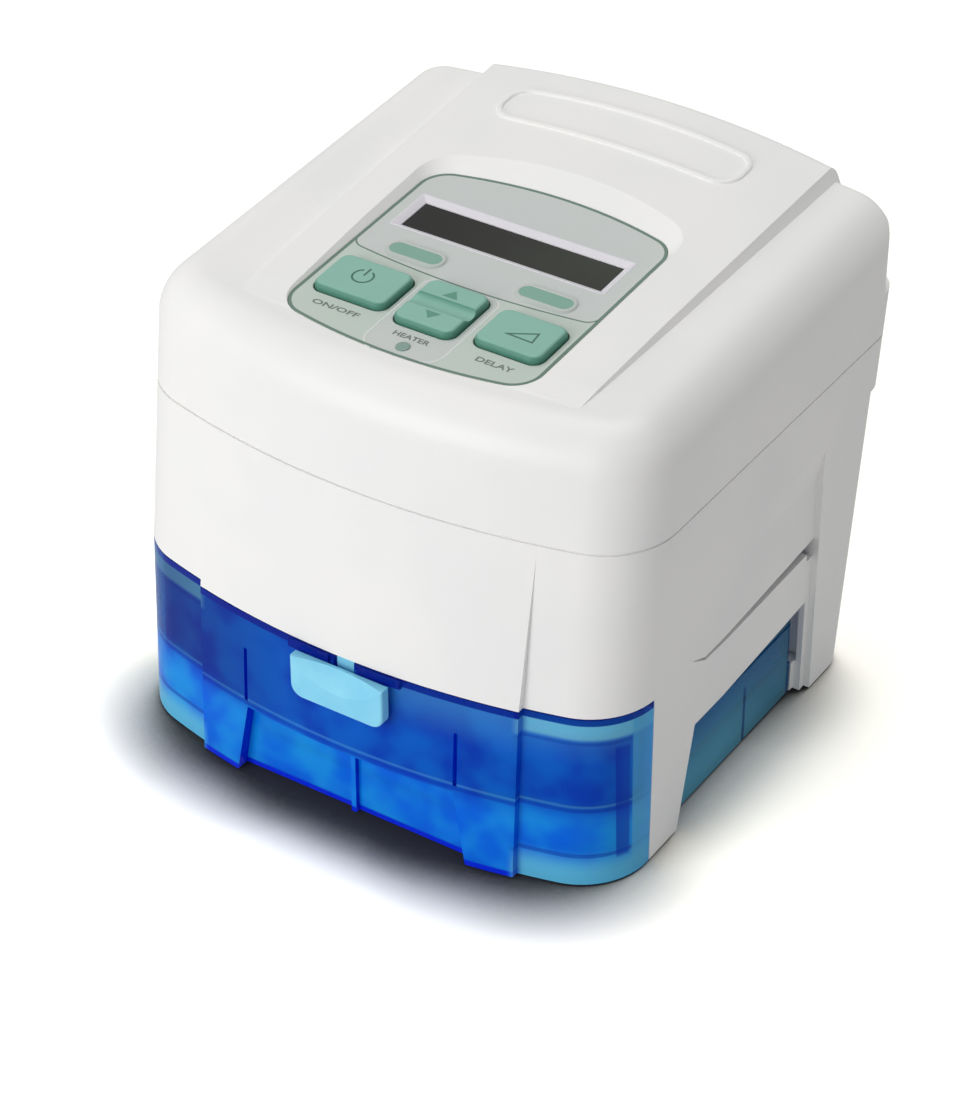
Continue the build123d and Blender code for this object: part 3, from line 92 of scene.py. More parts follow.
# %% Sockets as values
class Value:
    """One output socket of a material, which Python's operators can work on."""

    def __init__(self, finish, socket):
        self.finish = finish
        self.socket = socket

    def math(self, operation, *others, swap=False):
        """This value and the others through one Math node."""
        terms = [self, *others]
        if swap:
            terms.reverse()
        settings = {"operation": operation}
        return self.finish.node("Math", settings, dict(enumerate(terms)))

    def __add__(self, other):
        return self.math("ADD", other)

    def __radd__(self, other):
        return self.math("ADD", other)

    def __sub__(self, other):
        return self.math("SUBTRACT", other)

    def __rsub__(self, other):
        return self.math("SUBTRACT", other, swap=True)

    def __mul__(self, other):
        return self.math("MULTIPLY", other)

    def __truediv__(self, other):
        return self.math("DIVIDE", other)

    def __pow__(self, other):
        return self.math("POWER", other)

    def __lt__(self, other):
        return self.math("LESS_THAN", other)

    def __abs__(self):
        return self.math("ABSOLUTE")

    def least(self, other):
        return self.math("MINIMUM", other)

    def most(self, other):
        return self.math("MAXIMUM", other)

    def ramp(self, low, high, to_low=0.0, to_high=1.0):
        """A smooth step: to_low below low, to_high above high, eased between."""
        settings = {"interpolation_type": "SMOOTHSTEP"}
        values = {0: self, 1: low, 2: high, 3: to_low, 4: to_high}
        return self.finish.node("MapRange", settings, values)

    def between(self, low, high, soft=0.2):
        """One from low to high and nothing outside, eased over `soft` to each side."""
        rise = self.ramp(low - soft, low + soft)
        fall = self.ramp(high - soft, high + soft)
        return rise * (1 - fall)


print("besides its operators, a value has", ", ".join(n for n in vars(Value) if n[0] != "_"))

# %% [markdown]
# ## One material, one object
#
# The second class stands for a whole material and makes all of its nodes.
# Colours don't go through Math nodes, which would turn them grey. They are
# mixed by `blend`, or laid one over the other by `paint`, as with masks and
# thin coats of paint. Places are given in millimetres, so that a line on the
# finish carries the same number as the edge that it follows.

# %% Materials as finishes
class Finish:
    """One material, and the only way that this lesson makes its nodes."""

    ends_in = "OutputMaterial"

    def __init__(self, name):
        self.material = bpy.data.materials.new(name)
        self.material.use_nodes = True
        self.tree = self.material.node_tree
        self.tree.nodes.clear()
        self.place = self.node("TexCoord", out="Object")

    def node(self, kind, settings=None, values=None, out=0):
        """A node of that kind: its settings first, then its sockets' values or links."""
        made = self.tree.nodes.new("ShaderNode" + kind)
        for name, setting in (settings or {}).items():
            setattr(made, name, setting)
        for key, value in (values or {}).items():
            if isinstance(value, Value):
                self.tree.links.new(value.socket, made.inputs[key])
            else:
                made.inputs[key].default_value = value
        return Value(self, made.outputs[out])

    def noise(self, scale, detail=2.0, roughness=0.5, stretch=(1, 1, 1)):
        """Cloudy noise from 0 to 1, with about `scale` lumps to the metre."""
        turned = self.node("Mapping", None, {0: self.place, 3: stretch})
        values = {"Vector": turned, "Scale": scale, "Detail": detail, "Roughness": roughness}
        return self.node("TexNoise", None, values)

    def axes(self, source):
        """The X, Y and Z of a vector."""
        split = self.node("SeparateXYZ", None, {0: source})
        outputs = split.socket.node.outputs
        return [Value(self, outputs[i]) for i in range(3)]

    def place_mm(self):
        """Where a point lies on the object: X, Y and Z in millimetres."""
        return [axis / mm for axis in self.axes(self.place)]

    def facing(self):
        """Which way a face looks: the X, Y and Z of its normal."""
        return self.axes(self.node("TexCoord", out="Normal"))

    def blend(self, amount, first, second):
        """Two colours mixed by an amount from 0 to 1."""
        values = {0: amount, 6: first, 7: second}
        return self.node("Mix", {"data_type": "RGBA"}, values, out=2)

    def paint(self, colour, coats):
        """Coats of paint laid over a colour in turn, each (amount, colour)."""
        for amount, coat in coats:
            colour = self.blend(amount, colour, coat)
        return colour

    def relief(self, height, depth, strength):
        """Surface relief: `height` from 0 to 1 stands for `depth` metres."""
        return self.node("Bump", None, {"Height": height, "Distance": depth, "Strength": strength})

    def surface(self, **sockets):
        """The Principled shader, wired to the output. Names use _ for a space."""
        values = {name.replace("_", " "): value for name, value in sockets.items()}
        self.show(self.node("BsdfPrincipled", None, values))

    def show(self, shader):
        """Wire a shader to the output."""
        output = self.tree.nodes.new("ShaderNode" + self.ends_in)
        self.tree.links.new(shader.socket, output.inputs["Surface"])


def rgb(red, green, blue):
    """A screen colour, 0 to 255, as the linear colour that a shader takes."""
    screen = np.array([red, green, blue]) / 255
    linear = np.where(screen <= 0.04045, screen / 12.92, ((screen + 0.055) / 1.055) ** 2.4)
    return (*[float(v) for v in linear], 1.0)


print("white as a shader colour", [round(v, 3) for v in rgb(244, 245, 243)[:3]])

# %% [markdown]
# ## The white case
#
# The shell is satin polystyrene: nearly white, with the very fine grain that a
# spark-eroded mould leaves, and a sheen that wanders a little. One noise of
# about a millimetre gives the grain, as relief and as roughness. A second, some
# centimetres wide, shifts the white by a shade, so that large faces aren't
# dead flat.

# %% White shell finish
finish = Finish("white_shell")
grain = finish.noise(1400, detail=3, roughness=0.6)
cloud = finish.noise(22, detail=2)
white = finish.blend(cloud.ramp(0.35, 0.65), rgb(242, 242, 241), rgb(246, 245, 243))
finish.surface(
    Base_Color=white,
    Roughness=0.36 + grain * 0.08 + cloud * 0.04,
    Specular_IOR_Level=0.45,
    Normal=finish.relief(grain, 0.00004, 0.35),
)
white_shell = finish.material
print("case finish", white_shell.name)

# %% [markdown]
# ## The panel film
#
# The control panel is a printed polyester film, faintly pebbled, in a pale
# grey-green. Two fields of it are a shade more lilac: the part behind an arch
# under the display, and a tab round the middle key's lamp. The arch is a
# parabola, and the tab is everything within one radius of a short upright
# line, so both are one comparison each.

# %% Panel film finish
panel_centre = np.array((0.0, -12.25, 142.85))        # on the film, in millimetres
arch_bend, arch_foot = 0.00192, -7.6
tab_middle, tab_half, tab_foot, tab_round = 1.25, 6.0, -38.0, 5.5

finish = Finish("panel_film")
pebble = finish.noise(5200, detail=1)
cloud = finish.noise(60)
x, y, _ = finish.place_mm()
back = y - float(panel_centre[1])
behind_arch = (back - (x * x * arch_bend + arch_foot)).ramp(-0.1, 0.1)
beside = (abs(x - tab_middle) - tab_half).most(0.0)
below = (tab_foot - back).most(0.0)
in_tab = (beside * beside + below * below) < tab_round**2
film = finish.blend(behind_arch.most(in_tab), rgb(197, 210, 200), rgb(205, 209, 207))
film = finish.paint(film, [
    (cloud.ramp(0.3, 0.7, 0.0, 0.35), rgb(204, 211, 206)),
    (pebble.ramp(0.35, 0.7, 0.0, 0.25), rgb(188, 196, 192)),
])
finish.surface(
    Base_Color=film,
    Roughness=0.42 + pebble * 0.1,
    Specular_IOR_Level=0.4,
    Normal=finish.relief(pebble, 0.00002, 0.3),
)
panel_film = finish.material
print("film finish", panel_film.name)

# %% [markdown]
# ## The keys
#
# The keys are moulded in silicone, a sage green, with painted shade that makes it
# deeper on the slopes round each key. The slope is read from the surface normal
# of the object, so the painted shade stays with the key when the key is
# pressed. The two soft keys lie under the film and have no slopes to show, so
# theirs is the same green without that painted shade, a little duller.

# %% Key finishes
finish = Finish("key_green")
grain = finish.noise(2600, detail=2)
cloud = finish.noise(140)
upness = finish.facing()[2]
green = finish.blend(cloud, rgb(132, 183, 167), rgb(140, 190, 174))
# painted shade: the slopes round the key are darkened to a deeper green
green = finish.blend(upness.ramp(0.6, 0.99), rgb(80, 138, 120), green)
finish.surface(
    Base_Color=green,
    Roughness=0.44 + grain * 0.1,
    Specular_IOR_Level=0.4,
    Normal=finish.relief(grain, 0.00002, 0.4),
)
key_green = finish.material

finish = Finish("soft_green")
grain = finish.noise(2600, detail=2)
cloud = finish.noise(140)
finish.surface(
    Base_Color=finish.blend(cloud, rgb(126, 170, 153), rgb(134, 177, 160)),
    Roughness=0.5 + grain * 0.1,
    Specular_IOR_Level=0.35,
    Normal=finish.relief(grain, 0.00002, 0.4),
)
soft_green = finish.material
print("key finishes", key_green.name, soft_green.name)

# %% [markdown]
# ## Clear blue tank: its places
#
# The tank is moulded in a clear blue plastic. Its walls, ribs and edges show
# through the front as darker and lighter fields, and each of them is named
# here as a mask, a value that is one inside the field and nothing outside. One
# more mask marks where painted shade darkens the left of the front. The middle
# of the tank's front is a proud pad, set a little to the right as the latch is.

# %% Masks on the tank
finish = Finish("clear_blue")
x, y, z = finish.place_mm()
side, _, upness = finish.facing()
front_middle = 1.9
off_middle = abs(x - front_middle)
off_pad = off_middle.ramp(50.5, 54.5)
on_pad = 1 - off_pad
on_face = 1 - y.ramp(-72.0, -70.0)
at_front = 1 - y.ramp(-58.0, -50.0)
at_window = abs(x).ramp(76.5, 77.0) * y.ramp(-50.0, -49.0)
at_leg = abs(x).ramp(70.0, 72.0) * y.ramp(-60.8, -60.0)
corner_post = abs(x).ramp(66.0, 67.0) * y.ramp(-65.2, -64.8) * (1 - y.ramp(-61.6, -61.0))
latch_bars = off_middle.between(4.6, 18.6, 0.1) * z.ramp(54.1, 54.4)
window_rib = y.between(6.15, 7.65, 0.15) * (1 - z.ramp(20.0, 21.0))
# painted shade: the left of the front, above its parting line, is darkened
painted_shade_left = (1 - x.ramp(-75.0, 5.0)) * z.ramp(24.0, 30.0) * at_front
print("the tank's pad and latch stand", front_middle, "mm to the right")

# %% [markdown]
# ## Clear blue tank: its tones
#
# Under the coats lies a marbled blue, painted brighter low down as light that
# comes up from the floor. The coats go on from wide to narrow: painted light at
# the upper right and painted shade at the left, the clear rim outside the pad
# and painted floor light low on its corners, the parting line between tub and
# lid, and at last the cut edges, which gather the colour and come out deepest.
# The open windows at the sides get tones of their own, greener, because the eye
# looks there through the whole tank.

# %% Tones of the tank
wave = finish.noise(55, detail=2).ramp(0.36, 0.64)
deep = finish.blend(wave, rgb(0, 74, 206), rgb(6, 116, 230))
bright = finish.blend(wave, rgb(0, 118, 250), rgb(26, 168, 254))
# painted floor light: the blue is brighter low down and deeper above
blue = finish.paint(finish.blend(z.ramp(18.0, 30.0), bright, deep), [
    # painted light: the upper right of the tank is lightened
    (z.ramp(40.0, 56.0) * x.ramp(-10.0, 30.0) * 0.5, rgb(92, 184, 240)),
    (off_pad * z.between(48.4, 49.4, 0.4) * 0.5, rgb(6, 62, 180)),
    (off_pad * z.ramp(49.5, 51.0) * 0.95, rgb(136, 228, 254)),
    # painted floor light: the lower corners outside the pad are lightened
    (off_pad * (1 - z.ramp(4.0, 13.0)) * 0.95, rgb(112, 216, 250)),
    (z.between(27.2, 28.0) * 0.35, rgb(110, 204, 254)),
    (z.between(25.6, 26.8) * 0.6, rgb(6, 62, 196)),
    (off_pad * z.between(10.0, 11.4) * 0.7, rgb(10, 80, 196)),
    (at_leg * 0.75, rgb(104, 206, 248)),
    (corner_post * z.between(9.0, 47.0, 0.8) * 0.75, rgb(4, 58, 196)),
    # painted shade over the left of the front
    (painted_shade_left * 0.8, rgb(0, 30, 122)),
    (on_pad * (1 - z.ramp(2.2, 3.0)), rgb(0, 44, 244)),
    (on_pad * abs(side).ramp(0.6, 0.9), rgb(0, 50, 240)),
    (on_face * abs(upness).ramp(0.6, 0.95), rgb(6, 48, 190)),
    (z.ramp(54.8, 55.1).most(latch_bars), rgb(4, 34, 156)),
])
teal = finish.blend(z.ramp(6.0, 30.0), rgb(110, 196, 218), rgb(40, 112, 158))
teal = finish.paint(teal, [
    (y.ramp(-10.0, 32.0) * 0.55, rgb(44, 98, 112)),
    (z.ramp(29.6, 30.6) * 0.7, rgb(16, 52, 96)),
    (window_rib.most(y.ramp(32.0, 33.0)) * 0.85, rgb(14, 60, 120)),
])
blue = finish.blend(at_window, blue, teal)
print("tank tones painted")

# %% [markdown]
# ## Clear blue tank: its clearness
#
# A true glass would stay black inside here, because a lamp's light isn't
# followed through bent rays. So each face is a mix: part of the light goes
# straight through and takes on the blue, also on its way from the lamps, and
# the rest meets a satin blue skin. Two walls one behind the other then look
# deeper than one, as they do on the real tank. Less light goes through at the
# foot of the front and in the painted shade at its left.

# %% Skin of the tank
ripple = finish.noise(300, detail=2)
skin = finish.node("BsdfPrincipled", None, {
    "Base Color": blue,
    "Roughness": 0.14 + ripple * 0.06,
    "Specular IOR Level": 0.14,
    "Normal": finish.relief(ripple, 0.0001, 0.15),
})
through = finish.node("BsdfTransparent", None, {"Color": (0.09, 0.68, 1.0, 1)})
at_foot = (1 - z.ramp(24.0, 27.0)) * at_front
# less of the front is see-through in the painted shade at the left
share = 0.43 - painted_shade_left * 0.2 - at_foot * 0.13
finish.show(finish.node("MixShader", None, {0: share, 1: skin, 2: through}))
clear_blue = finish.material
print("tank finish", clear_blue.name)

# %% [markdown]
# ## Latch and seals
#
# The latch is the same plastic as the tank with white in it, so it scatters
# light and only hints at being clear. The seals are matt blue rubber with a
# fine bloom.

# %% Latch and seal finishes
finish = Finish("latch_blue")
cloud = finish.noise(120)
grain = finish.noise(1800)
finish.surface(
    Base_Color=finish.blend(cloud.ramp(0.3, 0.7), rgb(136, 220, 252), rgb(148, 228, 255)),
    Roughness=0.3 + grain * 0.06,
    Transmission_Weight=0.06,
    IOR=1.45,
    Normal=finish.relief(grain, 0.00003, 0.3),
)
latch_blue = finish.material

finish = Finish("seal")
grain = finish.noise(2200)
finish.surface(
    Base_Color=finish.blend(grain, rgb(58, 96, 150), rgb(70, 110, 165)),
    Roughness=0.55 + grain * 0.2,
    Normal=finish.relief(grain, 0.00004, 0.4),
)
seal = finish.material
print("latch and seal finishes", latch_blue.name, seal.name)

# %% [markdown]
# ## Metals and dark plastics
#
# Inside the case are brushed and cast metals, mouldings and foam. They differ
# mostly in shade, gloss and the size and direction of their grain, so one
# function makes them all: two shades under a noise that also roughens the
# surface and gives it relief. Stretching the noise along one axis makes the
# grain of drawn or brushed metal.

# %% Metals and dark plastics
def plain(name, light, dark, roughness, scale, metal=0.0, depth=0.00003, stretch=(1, 1, 1)):
    """A finish of two shades under one noise, which also roughens it and gives relief."""
    finish = Finish(name)
    grain = finish.noise(scale, detail=3, stretch=stretch)
    cloud = finish.noise(scale / 20)
    shade = finish.blend(grain.ramp(0.25, 0.75), dark, light)
    shade = finish.blend(cloud.ramp(0.3, 0.8, 0.0, 0.3), shade, dark)
    finish.surface(
        Base_Color=shade,
        Roughness=roughness + grain * 0.12,
        Metallic=metal,
        Normal=finish.relief(grain, depth, 0.4),
    )
    return finish.material


drawn, brushed = (1, 1, 8), (10, 1, 1)
steel = plain(
    "steel", rgb(205, 207, 210), rgb(175, 178, 182), 0.25, 900, metal=1.0, stretch=drawn)
aluminium = plain(
    "aluminium", rgb(215, 217, 220), rgb(190, 193, 197), 0.3, 700, metal=1.0, stretch=brushed)
grey_plastic = plain("grey_plastic", rgb(120, 124, 128), rgb(104, 108, 112), 0.45, 1500)
black_plastic = plain("black_plastic", rgb(34, 35, 37), rgb(22, 23, 24), 0.42, 1500)
motor_black = plain("motor", rgb(66, 68, 72), rgb(48, 50, 54), 0.35, 800, metal=0.6)
foam_grey = plain("foam", rgb(92, 94, 98), rgb(40, 41, 44), 0.9, 1100, depth=0.0006)
lcd_metal = plain("lcd_metal", rgb(52, 54, 56), rgb(38, 40, 42), 0.4, 1200, metal=0.7)
print("metals and plastics made")

# %% [markdown]
# ## Display pane, lamp lens and circuit boards
#
# The pane over the unlit display is nearly black, with a painted reflection that
# makes it a little lighter to the right. The lens is a dull green dome. The
# boards are green lacquer over woven glass, with lighter patches where copper
# lies under it: one noise cut sharply at a level gives such patches.

# %% Pane, lens and board finishes
finish = Finish("lcd_pane")
cloud = finish.noise(40)
x = finish.place_mm()[0]
# painted reflection: the pane goes a little lighter towards the right
dark = finish.blend(x.ramp(-30.0, 30.0), rgb(34, 36, 33), rgb(58, 62, 55))
finish.surface(
    Base_Color=finish.blend(cloud.ramp(0.3, 0.7, 0.0, 0.3), dark, rgb(42, 39, 36)),
    Roughness=0.14 + cloud * 0.05,
    Specular_IOR_Level=0.12,
)
lcd_pane = finish.material

finish = Finish("lamp_lens")
cloud = finish.noise(900)
finish.surface(
    Base_Color=finish.blend(cloud, rgb(120, 150, 140), rgb(136, 164, 154)),
    Roughness=0.2 + cloud * 0.08,
)
lamp_lens = finish.material

finish = Finish("board")
weave = finish.noise(3000)
copper = finish.noise(260, detail=1).ramp(0.56, 0.6)
finish.surface(
    Base_Color=finish.blend(copper * 0.35, rgb(26, 92, 58), rgb(40, 122, 78)),
    Roughness=0.35 + weave * 0.1,
    Normal=finish.relief(weave, 0.00003, 0.3),
)
board = finish.material
print("finishes of the small parts", lcd_pane.name, lamp_lens.name, board.name)

# %% [markdown]
# ## Who wears what
#
# Every solid of the frame gets exactly one finish. The table is written the way
# a parts list is, by finish, and the last line prints the solids that it missed.

# %% Give every solid its finish
finishes = {
    white_shell: ["top_cover", "main_housing", "humidifier_cradle", "filter_cover"],
    panel_film: ["keypad_overlay"],
    key_green: ["power_button", "ramp_button", "heater_rocker"],
    soft_green: ["soft_key_left", "soft_key_right"],
    lamp_lens: ["indicator_lens"],
    lcd_pane: ["lcd_window"],
    lcd_metal: ["lcd_module"],
    board: ["keypad_board", "main_board", "power_supply_board"],
    steel: [
        "keypad_screws", "cover_screws", "heater_springs",
        "latch_spring", "motor_shaft", "inlet_pins",
    ],
    aluminium: ["heater_plate", "tank_heat_plate"],
    clear_blue: ["tank_tub", "tank_lid", "tank_seal"],
    latch_blue: ["tank_latch"],
    seal: ["port_seals", "blower_grommets"],
    grey_plastic: [
        "blower_base", "blower_cover", "impeller",
        "air_duct", "board_standoffs", "hose_port",
    ],
    motor_black: ["blower_motor"],
    foam_grey: ["air_filter"],
    black_plastic: ["front_feet", "rear_feet", "power_inlet"],
}
for material, names in finishes.items():
    for name in names:
        nodes[name].data.materials.clear()
        nodes[name].data.materials.append(material)
left_over = set(nodes) - {n for names in finishes.values() for n in names}
print("solids with no finish of their own:", sorted(left_over))

# %% [markdown]
# ## New pieces as surfaces
#
# The printed lines and trims are too thin for solids, so they are drawn as
# surfaces. Each one is a grid of points worked out at once from a formula: the
# rows follow a path round the piece, and the columns follow its small profile.
# `sheet` joins neighbouring points with faces, and `finish_piece` turns the
# faces to look up and lets the piece ride on a body of the frame.

# %% From grids to pieces
def finish_piece(mesh, material, body):
    """Give a mesh its finish, turn it to face up, and let it ride on its body."""
    mesh.materials.append(material)
    normals = np.empty(len(mesh.polygons) * 3)
    mesh.polygons.foreach_get("normal", normals)
    if normals[2::3].sum() < 0:
        mesh.flip_normals()
    piece = bpy.data.objects.new(mesh.name, mesh)
    bpy.context.scene.collection.objects.link(piece)
    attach(piece, body)


def sheet(name, grid, material, body, close_path=False):
    """A piece from a grid of points in metres: face (i, j) joins p(i..i+1, j..j+1)."""
    rows, columns = grid.shape[:2]
    ids = np.arange(rows * columns).reshape(rows, columns)
    if close_path:
        ids = np.vstack((ids, ids[:1]))
    corners = (ids[:-1, :-1], ids[1:, :-1], ids[1:, 1:], ids[:-1, 1:])
    faces = np.stack(corners, axis=-1).reshape(-1, 4)
    mesh = bpy.data.meshes.new(name)
    mesh.from_pydata(grid.reshape(-1, 3).tolist(), [], faces.tolist())
    finish_piece(mesh, material, body)


# %% [markdown]
# ## Paths and profiles
#
# Nearly every line on the panel is made of arcs: a rounded corner, a bowed
# edge. So a path is written as a list of arcs, and the straight lines between
# them come by themselves. A point of an arc and the direction that it faces
# are the same cosine and sine, which is what makes it easy to carry a profile
# along the path at an even distance.

# %% Arcs, boxes and sweeps
def round_path(arcs, steps=10):
    """
    A closed outline of arcs joined by straight lines, with its outward normals.

    Each arc is (centre x, centre y, radius, first angle, last angle). A point is
    c + r (cos a, sin a), and its normal is (cos a, sin a).
    """
    table = np.array(arcs)
    share = np.linspace(0, 1, steps + 1)
    angles = np.radians(table[:, 3:4] + (table[:, 4:5] - table[:, 3:4]) * share)
    normals = np.stack((np.cos(angles), np.sin(angles)), axis=-1)
    points = table[:, None, :2] + table[:, None, 2:3] * normals
    return points.reshape(-1, 2), normals.reshape(-1, 2)


def round_box(x, y, wide, long, radius):
    """The path of a rounded rectangle, anticlockwise from its front right corner."""
    dx = wide / 2 - radius
    dy = long / 2 - radius
    return round_path([
        (x + dx, y - dy, radius, -90, 0),
        (x + dx, y + dy, radius, 0, 90),
        (x - dx, y + dy, radius, 90, 180),
        (x - dx, y - dy, radius, 180, 270),
    ])


def sweep(path, profile):
    """
    Grid of a profile carried along a path: p(i, j) = (c_i + n_i d_j, h_j).

    c and n are the path's points and normals, d and h the profile's outward
    distances and heights, all in panel millimetres.
    """
    points, normals = path
    outward, height = np.array(profile, dtype=float).T
    flat = points[:, None, :] + normals[:, None, :] * outward[None, :, None]
    rise = np.broadcast_to(height, flat.shape[:2])[..., None]
    return np.concatenate((flat, rise), axis=-1)


print("a small box has", len(round_box(0, 0, 20, 10, 3)[0]), "points on its path")

# %% [markdown]
# ## Laying things on the sloping panel
#
# The film slopes up to the rear by six hundredths. Everything on it is drawn
# flat first, right and back from its middle, and then turned with it. A
# printed line is a low ridge: its feet go just under the film, so that no gap
# opens between ink and film.

# %% The panel's own millimetres
panel_slope = 0.06
panel_tilt = atan2(panel_slope, 1)
ink_sink = 0.03


def on_panel(grid):
    """Panel millimetres (right, back, up from the film) as machine metres."""
    x, y, rise = np.moveaxis(np.asarray(grid, dtype=float), -1, 0)
    back = y * cos(panel_tilt) - rise * sin(panel_tilt)
    up = y * sin(panel_tilt) + rise * cos(panel_tilt)
    return (np.stack((x, back, up), axis=-1) + panel_centre) * mm


def line_profile(width, rise, base=0.0):
    """Section of a printed line: two steep edges and a flat top, centred on its path."""
    half, top, foot = width / 2, base + rise, base - ink_sink
    return [(half, foot), (half * 0.9, top), (-half * 0.9, top), (-half, foot)]


print("panel middle in metres", on_panel(np.zeros((1, 3))).round(4).tolist())

# %% [markdown]
# ## The panel's edge line
#
# A screen-printed dark line follows the panel's very edge. The panel's outline
# is made of six arcs. The two corner circles' centres lie on circles drawn
# inside the bowed front and rear edges, so every arc meets the next one
# without a kink.

# %% Edge line
ink = plain("ink", rgb(104, 132, 118), rgb(90, 118, 104), 0.5, 4000)
corner, half_wide, half_long = 9.0, 40.0, 43.5
front_bow, rear_bow = 160.0, 125.0
inner_x = half_wide - corner
lean_front = np.arcsin(inner_x / (front_bow - corner))
lean_rear = np.arcsin(inner_x / (rear_bow - corner))
front_y = -half_long + front_bow - (front_bow - corner) * np.cos(lean_front)
rear_y = half_long - rear_bow + (rear_bow - corner) * np.cos(lean_rear)
turn_front, turn_rear = np.degrees((lean_front, lean_rear))
panel_path = round_path([
    (0, front_bow - half_long, front_bow, -90 - turn_front, -90 + turn_front),
    (inner_x, front_y, corner, -90 + turn_front, 0),
    (inner_x, rear_y, corner, 0, 90 - turn_rear),
    (0, half_long - rear_bow, rear_bow, 90 - turn_rear, 90 + turn_rear),
    (-inner_x, rear_y, corner, 90 + turn_rear, 180),
    (-inner_x, front_y, corner, 180, 270 - turn_front),
], steps=24)
edge_profile = [(-0.02, -0.1), (-0.02, 0.07), (-0.85, 0.07), (-0.9, -ink_sink)]
sheet("panel_edge_line", on_panel(sweep(panel_path, edge_profile)), ink, "base", close_path=True)
print("edge line round a panel of", 2 * half_wide, "by", 2 * half_long, "mm")

# %% [markdown]
# ## Divider and tab
#
# A second dark line arches under the display and parts it from the row of
# keys: one wide arc with a small one at each end that turns up into the edge.
# A pale line runs round the middle key like a tab. Both are open paths.

# %% Divider and tab lines
pale_ink = plain("pale_ink", rgb(226, 229, 227), rgb(218, 222, 220), 0.45, 4000)
divider_path = round_path([
    (-35.48, -1.13, 4.0, 180, 262.05),
    (0, 252.9, 260.5, 262.05, 277.95),
    (35.48, -1.13, 4.0, 277.95, 360),
], steps=24)
sheet("divider_line", on_panel(sweep(divider_path, line_profile(0.5, 0.05))), ink, "base")

tab_path = round_path([
    (7.5, -37.0, 5.5, -82, 0),
    (10.0, -11.5, 3.0, 0, 90),
    (-8.0, -11.5, 3.0, 90, 180),
    (-5.0, -38.0, 6.0, 180, 264),
], steps=16)
sheet("tab_line", on_panel(sweep(tab_path, line_profile(0.55, 0.05))), pale_ink, "base")
print("divider and tab of", len(divider_path[0]), "and", len(tab_path[0]), "points")

# %% [markdown]
# ## Lips round the large keys
#
# Where the film is cut open for a large key, its edge curls up a little. The
# lip is a low rounded ridge round each opening, half a millimetre outside the
# key, and it is the line that the eye reads as the key's outline.

# %% Key lips
lip = plain("lip", rgb(190, 200, 193), rgb(180, 192, 185), 0.45, 4000)
key_boxes = {
    "power": (-24.4, -20.4, 23.7, 17.2, 3.2),
    "ramp": (26.4, -20.4, 21.2, 17.2, 3.2),
    "rocker": (1.0, -20.4, 19.4, 21.1, 3.2),
}
lip_off = 0.5
lip_profile = [(0.0, -0.4), (0.02, 0.18), (0.3, 0.22), (0.62, 0.0), (0.66, -0.03)]
for name, (x, y, wide, long, radius) in key_boxes.items():
    path = round_box(x, y, wide + 2 * lip_off, long + 2 * lip_off, radius + lip_off)
    sheet(f"lip_{name}", on_panel(sweep(path, lip_profile)), lip, "base", close_path=True)
print(len(key_boxes), "key lips")

# %% [markdown]
# ## Rims of the soft keys
#
# The two soft keys are bubbles under the film: only a slim green pill shows,
# and the film's own grey rolls down round it. The rim is a ring between two
# rounded boxes. Both are drawn with the same number of points, so that every
# point of the ring is a straight blend of one on each. It stays with the film
# when its key goes down.

# %% Soft key rims
def ring_between(outer, inner, steps):
    """Grid between two paths: p(i, j) = outer_i (1 - t_j) + inner_i t_j, at height h_j."""
    share, height = np.array(steps).T
    share = share[None, :, None]
    flat = outer[0][:, None] * (1 - share) + inner[0][:, None] * share
    return np.concatenate((flat, np.broadcast_to(height, flat.shape[:2])[..., None]), axis=-1)


film_grey = plain("film_grey", rgb(197, 204, 200), rgb(188, 196, 191), 0.45, 4000)
soft_key_places = {"left": (-20.4, -1.0), "right": (22.0, -1.0)}
roll = [(0, -ink_sink), (0.15, 0.16), (0.4, 0.55), (0.7, 0.64), (0.92, 0.6), (1, 0.53)]
for name, place in soft_key_places.items():
    ring = ring_between(round_box(*place, 19.2, 8.9, 4.35), round_box(*place, 16.6, 5.1, 2.5), roll)
    sheet(f"soft_rim_{name}", on_panel(ring), film_grey, "base", close_path=True)
print(len(soft_key_places), "soft key rims")

# %% [markdown]
# ## The plaque's bead
#
# Near the rear, a rounded bead frames a bare oval place on the band. The solid
# has it as a flat step; the bead rounds it over, so that it takes one bright
# line and one dark one as a moulded ridge does. It follows the band, whose
# height is the panel's slope plus a shallow arch from edge to edge.

# %% Height of the band
band_front, band_length = -57.0, 144.75
arch_start = 0.35              # share of the band's length where its rear part begins
edge_rise, edge_growth = 1.8, 1.1
arch_rise, arch_growth = 0.8, 1.6
band_half, band_widening = 54.0, 3.1


def band_height(x, y):
    """Height of the band at a place: slope + edge + arch (1 - (x / half width)^2)."""
    share = (y - band_front) / band_length
    along = (share - arch_start) / (1 - arch_start)
    plane = panel_centre[2] + panel_slope * (y - panel_centre[1])
    edge = edge_rise + edge_growth * along
    half = band_half + band_widening * share
    arch = (arch_rise + arch_growth * along) * (1 - ((x - front_middle) / half) ** 2)
    return plane + edge + arch


print("band height near the plaque", [round(float(band_height(0, y)), 2) for y in (55, 73)])

# %% [markdown]
# ## Where the bead runs
#
# The plaque's outline is two bowed edges and four round corners, like the
# panel's, but its front edge bows inwards. An arc that bows inwards has a
# negative radius, so that its normals still point out of the plaque.

